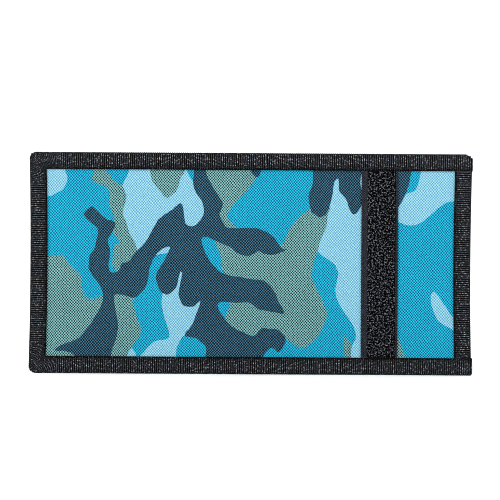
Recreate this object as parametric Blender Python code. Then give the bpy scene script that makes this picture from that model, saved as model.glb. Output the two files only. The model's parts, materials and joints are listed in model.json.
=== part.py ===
"""A soft trifold wallet, laid open and standing on its long lower edge.

+X runs along the open wallet, +Y points to its inner side and +Z to the mouth of the note compartment.
The origin is under the middle of the whole wallet. Sizes are in millimetres, and each piece is placed by x,
by d, its depth inward from the outer face of the shell, and by z.
Each fold has a spine between two fold lines, so that a flap can lie over the pockets of the panel beside it.
"""
from math import cos, pi, sin

import bmesh
import bpy

MM = 0.001

# Outer sizes
HEIGHT = 121.0
CENTRE_WIDTH = 71.8  # middle panel, between its two fold lines
CORNER_RADIUS = 4.0  # the two corners of the left panel
LOOP_INSET = 40.6  # right edge of the wallet to the loop strip
FASTENER_WIDTH = 20.0  # hook and loop tapes
BINDING_WIDTH = 9.5  # binding tape, folded in half over an edge
MOUTH_BINDING_WIDTH = 8.0
MOUTH_ROOM = 2.5  # the note compartment's inner sheet stops this far below the top binding

# Cloth thicknesses
SHELL_T = 0.6
STIFFENER_T = 0.4
LINING_T = 0.3
PANEL_T = 0.3
POCKET_T = 0.3
FRAME_T = 0.4
BINDING_T = 0.6
MOUTH_BINDING_T = 0.3
FASTENER_T = 1.5

# Clearances
GAP = 0.3  # between pieces that are sewn together
EDGE_GAP = 0.4  # between pieces that lie side by side
NOTE_GAP = 0.9  # the empty note compartment
AXIS_D = 0.3  # depth of every fold line, the middle of the shell
FOLD_GAP = 0.15  # from a fold line to the pieces on each side of it
CLOSED_GAP = 0.6  # between the faces of the closed wallet

# Pockets
CARD_SLOTS = 3
CARD_SLOT_TOP = 97.0  # top edge of the deepest card slot
CARD_SLOT_STEP = 12.0
ID_TOP = 99.0  # top edge of the window pocket
ID_BORDER = 8.5  # cloth around the window
ID_SEAM = 4.0  # film that lies behind that cloth
WINDOW_RADIUS = 4.0

# Coin pocket and its zip
ZIP_DROP = 29.0  # the zip's centre line below the wallet's top edge
ZIP_TAPE_WIDTH = 8.0
ZIP_TAPE_T = 0.3
COIL_WIDTH = 1.3
COIL_HEIGHT = 0.8
COIL_HALF_GAP = 0.5
STOP_LENGTH = 1.4
SLIDER_LENGTH = 9.0
SLIDER_HALF_WIDTH = 2.6
SLIDER_PLATE_T = 0.4
SLIDER_FLANGE_T = 0.4
SLIDER_NECK = (3.0, 0.4)
BRIDGE_LENGTH = 5.2
BRIDGE_WIDTH = 1.2
BRIDGE_POST = 0.8
BRIDGE_BAR_T = 0.4
BRIDGE_HOLE = 0.7
PULL_LENGTH = 13.0
PULL_HALF_WIDTH = 2.2
PULL_EYE_HALF_WIDTH = 1.0
PULL_EYE_LENGTH = 3.2
PULL_T = 0.4
PULL_RADIUS = 1.2
SLIDER_END_GAP = 0.5  # from the slider to a stop, at both ends of its travel
HOOK_TOP_GAP = 8.0  # hook strip below the zip's lower tape

ARC_STEPS = 6


def inward(layer, thickness, gap=GAP):
    """The depth span of a layer that lies on the inner side of another."""
    start = layer[1] + gap
    return (start, start + thickness)


# Depth spans of the layers, from the outer side inward
SHELL = (0.0, SHELL_T)
BINDING_OUTER = (-GAP - BINDING_T, -GAP)
LOOP = (-GAP - FASTENER_T, -GAP)
STIFFENER = inward(SHELL, STIFFENER_T)
LINING = inward(STIFFENER, LINING_T)
TOP_BINDING_INNER = inward(LINING, BINDING_T)
MOUTH_BINDING_OUTER = inward(LINING, MOUTH_BINDING_T)
INNER_PANEL = inward(LINING, PANEL_T, NOTE_GAP)
BINDING_INNER = inward(INNER_PANEL, BINDING_T)
MOUTH_BINDING_INNER = inward(INNER_PANEL, MOUTH_BINDING_T)
SLOTS = [inward(INNER_PANEL, POCKET_T)]
for _ in range(CARD_SLOTS - 1):
    SLOTS.append(inward(SLOTS[-1], POCKET_T))
ID_FILM = inward(INNER_PANEL, POCKET_T)
ID_FRAME = inward(ID_FILM, FRAME_T)
SLIDER_BACK = inward(INNER_PANEL, SLIDER_PLATE_T)
ZIP_TAPE = inward(SLIDER_BACK, ZIP_TAPE_T)
COIN_FRONT = inward(ZIP_TAPE, POCKET_T)
COIL = inward(ZIP_TAPE, COIL_HEIGHT)
HOOK = inward(COIN_FRONT, FASTENER_T)
SLIDER_FRONT = inward(COIL, SLIDER_PLATE_T)
BRIDGE_TOP = SLIDER_FRONT[1] + BRIDGE_HOLE + BRIDGE_BAR_T
PULL_D = SLIDER_FRONT[1] + BRIDGE_HOLE / 2  # depth of the pull tab's own axis
RIGHT_TOP = max(SLOTS[-1][1], BINDING_INNER[1])
CENTRE_TOP = max(ID_FRAME[1], BINDING_INNER[1])
LEFT_TOP = max(BRIDGE_TOP, HOOK[1])

# Widths that follow from how the flaps close: first the right one, then the left one over it,
# where the hook strip on the left flap's pocket meets the loop strip on the right flap's back
FOLD_REACH = BINDING_INNER[1] - AXIS_D  # how far a bent spine's binding stands into the wallet
POCKET_REACH = INNER_PANEL[1] - AXIS_D + FOLD_GAP  # from a fold line to the pockets beside it
RIGHT_SPINE = RIGHT_TOP + CENTRE_TOP + CLOSED_GAP - 2 * AXIS_D
LEFT_SPINE = RIGHT_SPINE - LOOP[0] + LEFT_TOP + GAP
RIGHT_WIDTH = CENTRE_WIDTH - FOLD_REACH - CLOSED_GAP
LOOP_FROM_FOLD = RIGHT_WIDTH - LOOP_INSET - FASTENER_WIDTH / 2
HOOK_FROM_FOLD = CENTRE_WIDTH - LOOP_FROM_FOLD
LEFT_WIDTH = HOOK_FROM_FOLD + FASTENER_WIDTH / 2 + EDGE_GAP + BINDING_WIDTH

# Places along x
WIDTH = LEFT_WIDTH + LEFT_SPINE + CENTRE_WIDTH + RIGHT_SPINE + RIGHT_WIDTH
X_LEFT = -WIDTH / 2
X_LEFT_OUTER = X_LEFT + LEFT_WIDTH
X_LEFT_INNER = X_LEFT_OUTER + LEFT_SPINE
X_RIGHT_INNER = X_LEFT_INNER + CENTRE_WIDTH
X_RIGHT_OUTER = X_RIGHT_INNER + RIGHT_SPINE
X_RIGHT = WIDTH / 2
FOLD_LINES = (X_LEFT_OUTER, X_LEFT_INNER, X_RIGHT_INNER, X_RIGHT_OUTER)
DEPTH_MIDDLE = (LOOP[0] + LEFT_TOP) / 2
COIN_X = (X_LEFT + BINDING_WIDTH + EDGE_GAP, X_LEFT_OUTER - POCKET_REACH)
# The closed zip's slider is far enough from the fold for its pull to turn over beside the bent spine
SLIDER_X = X_LEFT_OUTER - FOLD_REACH - EDGE_GAP - PULL_LENGTH
ZIP_X = (COIN_X[0], SLIDER_X + SLIDER_LENGTH / 2 + SLIDER_END_GAP + STOP_LENGTH)

# Places along z
CLOTH_BOTTOM = BINDING_T + GAP
CLOTH_TOP = HEIGHT - CLOTH_BOTTOM
INNER_TOP = HEIGHT - BINDING_WIDTH - MOUTH_ROOM
POCKET_BOTTOM = BINDING_WIDTH + EDGE_GAP
ZIP_Z = HEIGHT - ZIP_DROP
COIN_FRONT_TOP = ZIP_Z - SLIDER_HALF_WIDTH - EDGE_GAP
COIN_COVER_BOTTOM = ZIP_Z + SLIDER_HALF_WIDTH + EDGE_GAP
MOUTH_BINDING_TOP = INNER_TOP + GAP + MOUTH_BINDING_T
MOUTH_BINDING_BOTTOM = MOUTH_BINDING_TOP - MOUTH_BINDING_WIDTH

# The x span of each body's panel or spine
PANELS = {
    "left_panel": (X_LEFT, X_LEFT_OUTER),
    "left_fold": (X_LEFT_OUTER, X_LEFT_INNER),
    "centre": (X_LEFT_INNER, X_RIGHT_INNER),
    "right_fold": (X_RIGHT_INNER, X_RIGHT_OUTER),
    "right_panel": (X_RIGHT_OUTER, X_RIGHT),
}

axes = {}
materials = {}


def clear_scene():
    for obj in list(bpy.data.objects):
        bpy.data.objects.remove(obj, do_unlink=True)


def make_material(name, colour, roughness, metallic=0.0, alpha=1.0):
    material = bpy.data.materials.new(name)
    material.use_nodes = True
    shader = material.node_tree.nodes["Principled BSDF"]
    shader.inputs["Base Color"].default_value = (*colour, 1.0)
    shader.inputs["Roughness"].default_value = roughness
    shader.inputs["Metallic"].default_value = metallic
    shader.inputs["Alpha"].default_value = alpha
    material.diffuse_color = (*colour, alpha)
    materials[name] = material


def make_materials():
    make_material("camo_cloth", (0.03, 0.33, 0.55), 0.75)
    make_material("binding_tape", (0.012, 0.012, 0.015), 0.8)
    make_material("lining_cloth", (0.02, 0.02, 0.025), 0.7)
    make_material("stiffener_sheet", (0.5, 0.5, 0.48), 0.6)
    make_material("loop_tape", (0.01, 0.01, 0.012), 0.95)
    make_material("hook_tape", (0.015, 0.015, 0.018), 0.5)
    make_material("window_film", (0.8, 0.85, 0.88), 0.15, alpha=0.35)
    make_material("zip_coil", (0.02, 0.02, 0.022), 0.35)
    make_material("zip_metal", (0.55, 0.55, 0.56), 0.3, metallic=1.0)


def world(x, d, z):
    """A point of the wallet in metres."""
    return (x * MM, (d - DEPTH_MIDDLE) * MM, z * MM)


def make_axis(body, x, d, z, parent=None):
    """An empty on a body's joint axis, which carries the pieces of that body."""
    empty = bpy.data.objects.new(body + "_axis", None)
    bpy.context.collection.objects.link(empty)
    empty.empty_display_size = 10 * MM
    axes[body] = empty
    attach(empty, world(x, d, z), parent)


def attach(obj, place, body):
    """Puts an object at a place in the wallet, as a child of its body's axis."""
    obj.location = place
    above = axes.get(body)
    if above is None:
        return
    obj.parent = above
    while above is not None:
        obj.location -= above.location
        above = above.parent


def make_axes():
    make_axis("left_fold", X_LEFT_INNER, AXIS_D, 0)
    make_axis("left_panel", X_LEFT_OUTER, AXIS_D, 0, "left_fold")
    make_axis("right_fold", X_RIGHT_INNER, AXIS_D, 0)
    make_axis("right_panel", X_RIGHT_OUTER, AXIS_D, 0, "right_fold")
    make_axis("zip_slider", SLIDER_X, PULL_D, ZIP_Z, "left_panel")
    make_axis("zip_pull", SLIDER_X, PULL_D, ZIP_Z, "zip_slider")


def extrude(name, outline, along, span):
    """A prism: an outline of (d, z), (x, z) or (x, d) points, pushed along x, d or z between two ends."""
    order = {"x": (2, 0, 1), "d": (0, 2, 1), "z": (0, 1, 2)}[along]
    mesh = bpy.data.meshes.new(name)
    obj = bpy.data.objects.new(name, mesh)
    bpy.context.collection.objects.link(obj)
    bm = bmesh.new()
    corners = []
    for u, v in outline:
        values = (u, v, span[0])
        corners.append(bm.verts.new(world(*(values[i] for i in order))))
    face = bm.faces.new(corners)
    grown = bmesh.ops.extrude_face_region(bm, geom=[face])
    tip = [item for item in grown["geom"] if isinstance(item, bmesh.types.BMVert)]
    reach = [0.0, 0.0, 0.0]
    reach["xdz".index(along)] = (span[1] - span[0]) * MM
    bmesh.ops.translate(bm, verts=tip, vec=reach)
    bmesh.ops.recalc_face_normals(bm, faces=bm.faces)
    bm.to_mesh(mesh)
    bm.free()
    return obj


def rectangle(u, v):
    return [(u[0], v[0]), (u[1], v[0]), (u[1], v[1]), (u[0], v[1])]


def box(name, x, d, z):
    return extrude(name, rectangle(x, z), "d", d)


def about(centre, half):
    """The span that reaches equally far on both sides of a centre."""
    return (centre - half, centre + half)


def arc(u, v, radius, start, stop):
    """Points of an arc about (u, v), between two angles in quarter turns."""
    angles = [(start + (stop - start) * i / ARC_STEPS) * pi / 2 for i in range(ARC_STEPS + 1)]
    return [(u + radius * cos(a), v + radius * sin(a)) for a in angles]


def rounded(u, v, radius, right=True):
    """A rectangle with rounded corners on its left, and on its right where that is asked for."""
    outline = arc(u[0] + radius, v[1] - radius, radius, 1, 2)
    outline += arc(u[0] + radius, v[0] + radius, radius, 2, 3)
    if right:
        outline += arc(u[1] - radius, v[0] + radius, radius, 3, 4)
        outline += arc(u[1] - radius, v[1] - radius, radius, 0, 1)
    else:
        outline += [(u[1], v[0]), (u[1], v[1])]
    return outline


def combine(obj, tool, operation):
    """Cuts a tool out of an object or joins it on, and hides the tool."""
    modifier = obj.modifiers.new(tool.name, "BOOLEAN")
    modifier.operation = operation
    modifier.solver = "EXACT"
    modifier.object = tool
    tool.hide_render = True
    tool.display_type = "WIRE"


def finish(obj, body, material):
    """Moves a finished piece's origin to its middle, and hangs it on its body."""
    middle = sum((v.co for v in obj.data.vertices), start=obj.location * 0) / len(obj.data.vertices)
    for vertex in obj.data.vertices:
        vertex.co -= middle
    obj.data.materials.append(materials[material])
    attach(obj, middle, body)
    return obj


def sheet(name, body, material, x, d, z):
    return finish(box(name, x, d, z), body, material)


def panel_span(body, layer_top, edge):
    """The x span of a layer on one panel: short of its fold lines, and inside its bound edge."""
    start, stop = PANELS[body]
    reach = max(layer_top - AXIS_D, 0) + FOLD_GAP
    start += edge if body == "left_panel" else reach
    stop -= edge if body == "right_panel" else reach
    return (start, stop)


def make_fold_wedges():
    """Cutters that bevel the bindings on both sides of each fold line, so that it can bend a quarter turn."""
    low = FOLD_GAP / 2
    high = BINDING_INNER[1]
    near = FOLD_GAP - low
    far = FOLD_GAP + high
    wedges = []
    for number, x in enumerate(FOLD_LINES):
        outline = [
            (x - near, AXIS_D - low),
            (x + near, AXIS_D - low),
            (x + far, AXIS_D + high),
            (x - far, AXIS_D + high),
        ]
        wedges.append(extrude(f"fold_wedge_{number}", outline, "z", (-1, HEIGHT + 1)))
    return wedges


def binding_run(name, body, outer, inner, edge, width, thickness, wedges, x):
    """A run of tape folded over the top or the bottom edge of the cloth, from edge towards its other side."""
    towards = 1 if edge < HEIGHT / 2 else -1
    rim = edge + towards * width
    bed = edge + towards * thickness
    section = [
        (outer[0], edge),
        (inner[1], edge),
        (inner[1], rim),
        (inner[0], rim),
        (inner[0], bed),
        (outer[1], bed),
        (outer[1], rim),
        (outer[0], rim),
    ]
    run = extrude(name, section, "x", x)
    for wedge in wedges:
        combine(run, wedge, "DIFFERENCE")
    return finish(run, body, "binding_tape")


def make_cloth(body, layer, name, material, top=CLOTH_TOP):
    """One layer of one panel, inside the bound edges."""
    x = panel_span(body, layer[1], CLOTH_BOTTOM)
    z = (CLOTH_BOTTOM, top)
    outline = rectangle(x, z)
    if body == "left_panel":
        outline = rounded(x, z, CORNER_RADIUS - CLOTH_BOTTOM, right=False)
    finish(extrude(f"{body}_{name}", outline, "d", layer), body, material)


def make_panel(body, wedges):
    """The cloth layers and the straight bindings of one panel or spine."""
    start, stop = PANELS[body]
    make_cloth(body, SHELL, "shell", "camo_cloth")
    make_cloth(body, LINING, "lining", "lining_cloth")
    make_cloth(body, INNER_PANEL, "inner_sheet", "lining_cloth", INNER_TOP)
    if not body.endswith("fold"):
        make_cloth(body, STIFFENER, "stiffener", "stiffener_sheet")

    touching = [wedge for wedge, x in zip(wedges, FOLD_LINES) if x in (start, stop)]
    left = BINDING_WIDTH + GAP if body == "left_panel" else FOLD_GAP
    right = 0 if body == "right_panel" else FOLD_GAP
    x = (start + left, stop - right)
    binding_run(f"{body}_top_binding", body, BINDING_OUTER, TOP_BINDING_INNER, HEIGHT,
                BINDING_WIDTH, BINDING_T, touching, x)
    if body != "left_panel":
        binding_run(f"{body}_bottom_binding", body, BINDING_OUTER, BINDING_INNER, 0,
                    BINDING_WIDTH, BINDING_T, touching, x)
    x = panel_span(body, MOUTH_BINDING_INNER[1], BINDING_WIDTH + EDGE_GAP)
    binding_run(f"{body}_mouth_binding", body, MOUTH_BINDING_OUTER, MOUTH_BINDING_INNER,
                MOUTH_BINDING_TOP, MOUTH_BINDING_WIDTH, MOUTH_BINDING_T, (), x)


def make_left_edge_binding(wedges):
    """One tape around the left edge with its two rounded corners, and on along the bottom edge."""
    stop = X_LEFT_OUTER - FOLD_GAP
    beyond = stop + 1
    inside = X_LEFT + BINDING_WIDTH
    outline = rounded((X_LEFT, stop), (0, HEIGHT), CORNER_RADIUS, right=False)
    tape = extrude("left_panel_edge_binding", outline, "d", (BINDING_OUTER[0], BINDING_INNER[1]))
    bed = (BINDING_T, HEIGHT - BINDING_T)
    outline = rounded((X_LEFT + BINDING_T, beyond), bed, CORNER_RADIUS - BINDING_T, right=False)
    tools = (
        extrude("edge_cloth", outline, "d", (BINDING_OUTER[1], BINDING_INNER[0])),
        box("edge_window", (inside, beyond), (BINDING_OUTER[0] - 1, BINDING_INNER[1] + 1),
            (BINDING_WIDTH, HEIGHT + 1)),
        wedges[FOLD_LINES.index(X_LEFT_OUTER)],
    )
    for tool in tools:
        combine(tape, tool, "DIFFERENCE")
    finish(tape, "left_panel", "binding_tape")


def make_right_edge_binding():
    """The tape over the right edge, between the top and bottom tapes."""
    bed = X_RIGHT - BINDING_T
    rim = X_RIGHT - BINDING_WIDTH
    section = [
        (X_RIGHT, BINDING_OUTER[0]),
        (X_RIGHT, BINDING_INNER[1]),
        (rim, BINDING_INNER[1]),
        (rim, BINDING_INNER[0]),
        (bed, BINDING_INNER[0]),
        (bed, BINDING_OUTER[1]),
        (rim, BINDING_OUTER[1]),
        (rim, BINDING_OUTER[0]),
    ]
    z = (BINDING_WIDTH + GAP, HEIGHT - BINDING_WIDTH - GAP)
    tape = extrude("right_panel_edge_binding", section, "z", z)
    finish(tape, "right_panel", "binding_tape")


def make_card_slots():
    """Card pockets on the right panel, each lower and nearer the user than the one behind it."""
    x = (X_RIGHT_OUTER + POCKET_REACH, X_RIGHT - BINDING_WIDTH - EDGE_GAP)
    for number, layer in enumerate(SLOTS):
        top = CARD_SLOT_TOP - number * CARD_SLOT_STEP
        sheet(f"card_slot_{number + 1}", "right_panel", "lining_cloth", x, layer, (POCKET_BOTTOM, top))


def make_id_pocket():
    """A clear film behind a cloth frame, on the centre panel."""
    x = (X_LEFT_INNER + POCKET_REACH, X_RIGHT_INNER - POCKET_REACH)
    z = (POCKET_BOTTOM, ID_TOP)
    window_x = (x[0] + ID_BORDER, x[1] - ID_BORDER)
    window_z = (z[0] + ID_BORDER, z[1] - ID_BORDER)
    film_x = (window_x[0] - ID_SEAM, window_x[1] + ID_SEAM)
    film_z = (window_z[0] - ID_SEAM, window_z[1] + ID_SEAM)
    sheet("id_window_film", "centre", "window_film", film_x, ID_FILM, film_z)
    frame = box("id_window_frame", x, ID_FRAME, z)
    window = extrude("id_window", rounded(window_x, window_z, WINDOW_RADIUS), "d",
                     (ID_FRAME[0] - 1, ID_FRAME[1] + 1))
    combine(frame, window, "DIFFERENCE")
    finish(frame, "centre", "lining_cloth")


def make_fastener():
    """The loop strip on the right panel's back, and the hook strip on the coin pocket that meets it."""
    half = FASTENER_WIDTH / 2
    loop_x = about(X_RIGHT_OUTER + LOOP_FROM_FOLD, half)
    hook_x = about(X_LEFT_OUTER - HOOK_FROM_FOLD, half)
    loop_z = (POCKET_BOTTOM, HEIGHT - POCKET_BOTTOM)
    hook_z = (POCKET_BOTTOM, COIN_FRONT_TOP - HOOK_TOP_GAP)
    sheet("loop_strip", "right_panel", "loop_tape", loop_x, LOOP, loop_z)
    sheet("hook_strip", "left_panel", "hook_tape", hook_x, HOOK, hook_z)


def make_coin_pocket():
    """The front of the coin pocket, the strip above its zip, and the zip itself without its slider."""
    front_z = (POCKET_BOTTOM, COIN_FRONT_TOP)
    cover_z = (COIN_COVER_BOTTOM, MOUTH_BINDING_BOTTOM - EDGE_GAP)
    sheet("coin_pocket_front", "left_panel", "camo_cloth", COIN_X, COIN_FRONT, front_z)
    sheet("coin_pocket_cover", "left_panel", "camo_cloth", COIN_X, COIN_FRONT, cover_z)
    coil_x = (ZIP_X[0] + STOP_LENGTH + GAP, ZIP_X[1] - STOP_LENGTH - GAP)
    for side, name in ((-1, "lower"), (1, "upper")):
        near = ZIP_Z + side * COIL_HALF_GAP
        tape_z = sorted((near, near + side * ZIP_TAPE_WIDTH))
        coil_z = sorted((near, near + side * COIL_WIDTH))
        sheet(f"zip_tape_{name}", "left_panel", "binding_tape", COIN_X, ZIP_TAPE, tape_z)
        sheet(f"zip_coil_{name}", "left_panel", "zip_coil", coil_x, COIL, coil_z)
    stop_z = about(ZIP_Z, COIL_HALF_GAP + COIL_WIDTH)
    open_x = (ZIP_X[0], ZIP_X[0] + STOP_LENGTH)
    closed_x = (ZIP_X[1] - STOP_LENGTH, ZIP_X[1])
    sheet("zip_stop_open_end", "left_panel", "zip_metal", open_x, COIL, stop_z)
    sheet("zip_stop_closed_end", "left_panel", "zip_metal", closed_x, COIL, stop_z)


def make_slider():
    """The slider: two plates joined by a neck between the coils, side flanges, and a bridge for the pull."""
    flange_d = (COIL[0], SLIDER_FRONT[0] + SLIDER_PLATE_T / 2)
    bar_d = (BRIDGE_TOP - BRIDGE_BAR_T, BRIDGE_TOP)
    post_d = (SLIDER_FRONT[0] + SLIDER_PLATE_T / 2, BRIDGE_TOP - BRIDGE_BAR_T / 2)
    neck_d = (SLIDER_BACK[0] + SLIDER_PLATE_T / 2, SLIDER_FRONT[0] + SLIDER_PLATE_T / 2)
    along = about(SLIDER_X, SLIDER_LENGTH / 2)
    across = about(ZIP_Z, SLIDER_HALF_WIDTH)
    flange = SLIDER_HALF_WIDTH - SLIDER_FLANGE_T / 2
    bridge_z = about(ZIP_Z, BRIDGE_WIDTH / 2)
    body = box("zip_slider", along, SLIDER_FRONT, across)
    parts = [
        box("slider_back", along, SLIDER_BACK, about(ZIP_Z, SLIDER_HALF_WIDTH - SLIDER_FLANGE_T)),
        box("slider_neck", about(SLIDER_X, SLIDER_NECK[0] / 2), neck_d, about(ZIP_Z, SLIDER_NECK[1] / 2)),
        box("bridge_bar", about(SLIDER_X, BRIDGE_LENGTH / 2), bar_d, bridge_z),
    ]
    for side in (-1, 1):
        middle = SLIDER_X + side * (BRIDGE_LENGTH - BRIDGE_POST) / 2
        parts.append(box("bridge_post", about(middle, BRIDGE_POST / 2), post_d, bridge_z))
        middle = ZIP_Z + side * flange
        parts.append(box("slider_flange", along, flange_d, about(middle, SLIDER_FLANGE_T / 2)))
    for part in parts:
        combine(body, part, "UNION")
    finish(body, "zip_slider", "zip_metal")


def make_pull():
    """The pull tab, whose cross bar turns under the slider's bridge."""
    half = PULL_T / 2
    outline = rounded((SLIDER_X - PULL_LENGTH, SLIDER_X + half), about(ZIP_Z, PULL_HALF_WIDTH),
                      PULL_RADIUS, right=False)
    pull = extrude("zip_pull", outline, "d", about(PULL_D, half))
    eye = box("pull_eye", (SLIDER_X - PULL_EYE_LENGTH, SLIDER_X - half), about(PULL_D, PULL_T),
              about(ZIP_Z, PULL_EYE_HALF_WIDTH))
    combine(pull, eye, "DIFFERENCE")
    finish(pull, "zip_pull", "zip_metal")


def main():
    clear_scene()
    make_materials()
    make_axes()
    wedges = make_fold_wedges()
    for body in PANELS:
        make_panel(body, wedges)
    make_left_edge_binding(wedges)
    make_right_edge_binding()
    make_card_slots()
    make_id_pocket()
    make_fastener()
    make_coin_pocket()
    make_slider()
    make_pull()


main()
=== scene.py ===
"""Looks of a trifold camouflage wallet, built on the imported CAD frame.

Lengths are in millimetres unless a name ends in _M, and every point is (x, y, z) in the row frame:
x runs along the open wallet, -y is the printed outer face and z is up.
"""

import json
import math
import random
from collections import namedtuple

import bpy
import numpy as np
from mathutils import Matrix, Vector, geometry, noise


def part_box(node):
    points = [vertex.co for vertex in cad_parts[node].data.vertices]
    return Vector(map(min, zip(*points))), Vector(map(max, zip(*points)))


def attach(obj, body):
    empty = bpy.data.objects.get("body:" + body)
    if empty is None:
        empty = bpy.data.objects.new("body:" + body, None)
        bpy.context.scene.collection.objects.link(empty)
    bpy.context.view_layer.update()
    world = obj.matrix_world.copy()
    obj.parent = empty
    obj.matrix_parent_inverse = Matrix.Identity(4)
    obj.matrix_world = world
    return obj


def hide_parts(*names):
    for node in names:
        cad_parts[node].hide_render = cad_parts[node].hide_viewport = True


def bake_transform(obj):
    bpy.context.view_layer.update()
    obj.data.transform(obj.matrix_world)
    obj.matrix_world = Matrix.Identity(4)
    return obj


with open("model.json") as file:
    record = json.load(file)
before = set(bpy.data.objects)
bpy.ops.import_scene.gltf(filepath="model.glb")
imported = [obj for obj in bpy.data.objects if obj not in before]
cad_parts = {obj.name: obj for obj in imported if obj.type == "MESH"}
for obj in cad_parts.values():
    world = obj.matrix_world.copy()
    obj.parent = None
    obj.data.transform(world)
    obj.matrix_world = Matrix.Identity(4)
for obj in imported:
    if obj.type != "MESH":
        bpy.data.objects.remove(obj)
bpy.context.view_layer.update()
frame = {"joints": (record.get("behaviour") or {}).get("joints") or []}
MM = 0.001


# ---------------------------------------------------------------- sizes, read from the frame

Box = namedtuple("Box", "left right outer inner bottom top")


def box(node):
    """A CAD node's box in millimetres: outer is its lowest y and inner its highest."""
    low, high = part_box(node)
    return Box(low.x / MM, high.x / MM, low.y / MM, high.y / MM, low.z / MM, high.z / MM)


def hinge_x(joint_name):
    joint = next(j for j in frame["joints"] if j["name"] == joint_name)
    return joint["pos_m"][0] / MM


SHELL = box("left_panel_shell")
LINING = box("centre_lining")
INNER_SHEET = box("centre_inner_sheet")
TOP_TAPE = box("centre_top_binding")
BOTTOM_TAPE = box("centre_bottom_binding")
MOUTH_TAPE = box("centre_mouth_binding")
LEFT_TAPE = box("left_panel_edge_binding")
RIGHT_TAPE = box("right_panel_edge_binding")

LEFT = LEFT_TAPE.left
RIGHT = RIGHT_TAPE.right
BOTTOM = BOTTOM_TAPE.bottom
TOP = TOP_TAPE.top
TAPE_WIDTH = TOP_TAPE.top - TOP_TAPE.bottom
TAPE_THICKNESS = 0.45
CLOTH_LEFT = SHELL.left
TAPE_END = 0.6
CLOTH_RIGHT = box("right_panel_shell").right - TAPE_END
CLOTH_CORNER = 3.1
CORNER_RADIUS = 4.0

LEFT_OUTER_HINGE = hinge_x("left_fold_outer")
LEFT_INNER_HINGE = hinge_x("left_fold_inner")
RIGHT_INNER_HINGE = hinge_x("right_fold_inner")
RIGHT_OUTER_HINGE = hinge_x("right_fold_outer")
BEND_REACH = 4.0

# The cloth and tape run through both spines, and one piece can bend at one hinge only, so each
# layer is four pieces that meet halfway along a spine or along the centre.
LEFT_SEAM = (LEFT_OUTER_HINGE + LEFT_INNER_HINGE) / 2
CENTRE_SEAM = (LEFT_INNER_HINGE + RIGHT_INNER_HINGE) / 2
RIGHT_SEAM = (RIGHT_INNER_HINGE + RIGHT_OUTER_HINGE) / 2
Span = namedtuple("Span", "name start stop hinge before after")
SPANS = (
    Span("left", LEFT, LEFT_SEAM, LEFT_OUTER_HINGE, "left_panel", "left_fold"),
    Span("left_centre", LEFT_SEAM, CENTRE_SEAM, LEFT_INNER_HINGE, "left_fold", "centre"),
    Span("right_centre", CENTRE_SEAM, RIGHT_SEAM, RIGHT_INNER_HINGE, "centre", "right_fold"),
    Span("right", RIGHT_SEAM, RIGHT, RIGHT_OUTER_HINGE, "right_fold", "right_panel"),
)

# The open wallet isn't quite flat: (x, half width, how far it stands towards the outer face).
# It only ever swells outwards, so the folded layers inside keep their room.
SWELLS = ((-52.0, 9.0, 0.35), (-3.0, 14.0, 0.85), (39.0, 5.0, 0.15), (61.0, 5.0, 0.2))


def swell(x):
    return sum(height * math.exp(-(((x - middle) / width) ** 2)) for middle, width, height in SWELLS)


def bend(piece):
    """Bakes the piece's transform into its mesh."""
    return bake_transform(piece)


def bodies_of(span):
    """CAD bodies that the span's piece replaces: each body once over the four spans."""
    return {
        "left": ("left_panel", "left_fold"),
        "left_centre": ("centre",),
        "right_centre": ("right_fold",),
        "right": ("right_panel",),
    }[span.name]


# ---------------------------------------------------------------- meshes


def make_piece(name, points, faces, materials, face_materials=None, crease=40, spread=None):
    """A mesh from points in millimetres, laid on the wallet's gentle swell.

    The "rest" map keeps each point's flat place, (x, z) or the given spread, for the patterns.
    """
    mesh = bpy.data.meshes.new(name)
    placed = [(x * MM, (y - swell(x)) * MM, z * MM) for x, y, z in points]
    mesh.from_pydata(placed, [], faces)
    for material in materials:
        mesh.materials.append(material)
    if face_materials is not None:
        mesh.polygons.foreach_set("material_index", face_materials)
    mesh.polygons.foreach_set("use_smooth", [True] * len(mesh.polygons))
    mesh.set_sharp_from_angle(angle=math.radians(crease))
    rest = mesh.uv_layers.new(name="rest")
    corners = np.empty(len(mesh.loops), np.int32)
    mesh.loops.foreach_get("vertex_index", corners)
    spread = spread or [(x, z) for x, y, z in points]
    flat = np.array(spread, np.float32) * MM
    rest.data.foreach_set("uv", flat[corners].ravel())
    mesh.validate()
    mesh.update()
    piece = bpy.data.objects.new(name, mesh)
    bpy.context.scene.collection.objects.link(piece)
    return piece


def closed_curve(points, step):
    """A smooth closed line through the points, with a point about every step."""
    line = []
    count = len(points)
    for i in range(count):
        before, here, there, after = (Vector(points[(i + k) % count]) for k in (-1, 0, 1, 2))
        pieces = max(1, round((there - here).length / step))
        for k in range(pieces):
            t = k / pieces
            line.append(
                0.5
                * (
                    2 * here
                    + (there - before) * t
                    + (2 * before - 5 * here + 4 * there - after) * t**2
                    + (3 * here - before - 3 * there + after) * t**3
                )
            )
    return line


def rectangle(left, right, bottom, top, radius=0.0, corners=("bl", "br", "tr", "tl"), steps=8):
    """A rectangle's outline, with the named corners rounded."""
    outline = []
    places = (
        ("bl", left, bottom, 1, 1, 180),
        ("br", right, bottom, -1, 1, 270),
        ("tr", right, top, -1, -1, 0),
        ("tl", left, top, 1, -1, 90),
    )
    for name, x, z, towards_x, towards_z, first_angle in places:
        if radius == 0 or name not in corners:
            outline.append((x, z))
            continue
        for k in range(steps + 1):
            angle = math.radians(first_angle + 90 * k / steps)
            centre_x = x + towards_x * radius
            centre_z = z + towards_z * radius
            outline.append((centre_x + radius * math.cos(angle), centre_z + radius * math.sin(angle)))
    return outline


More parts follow.
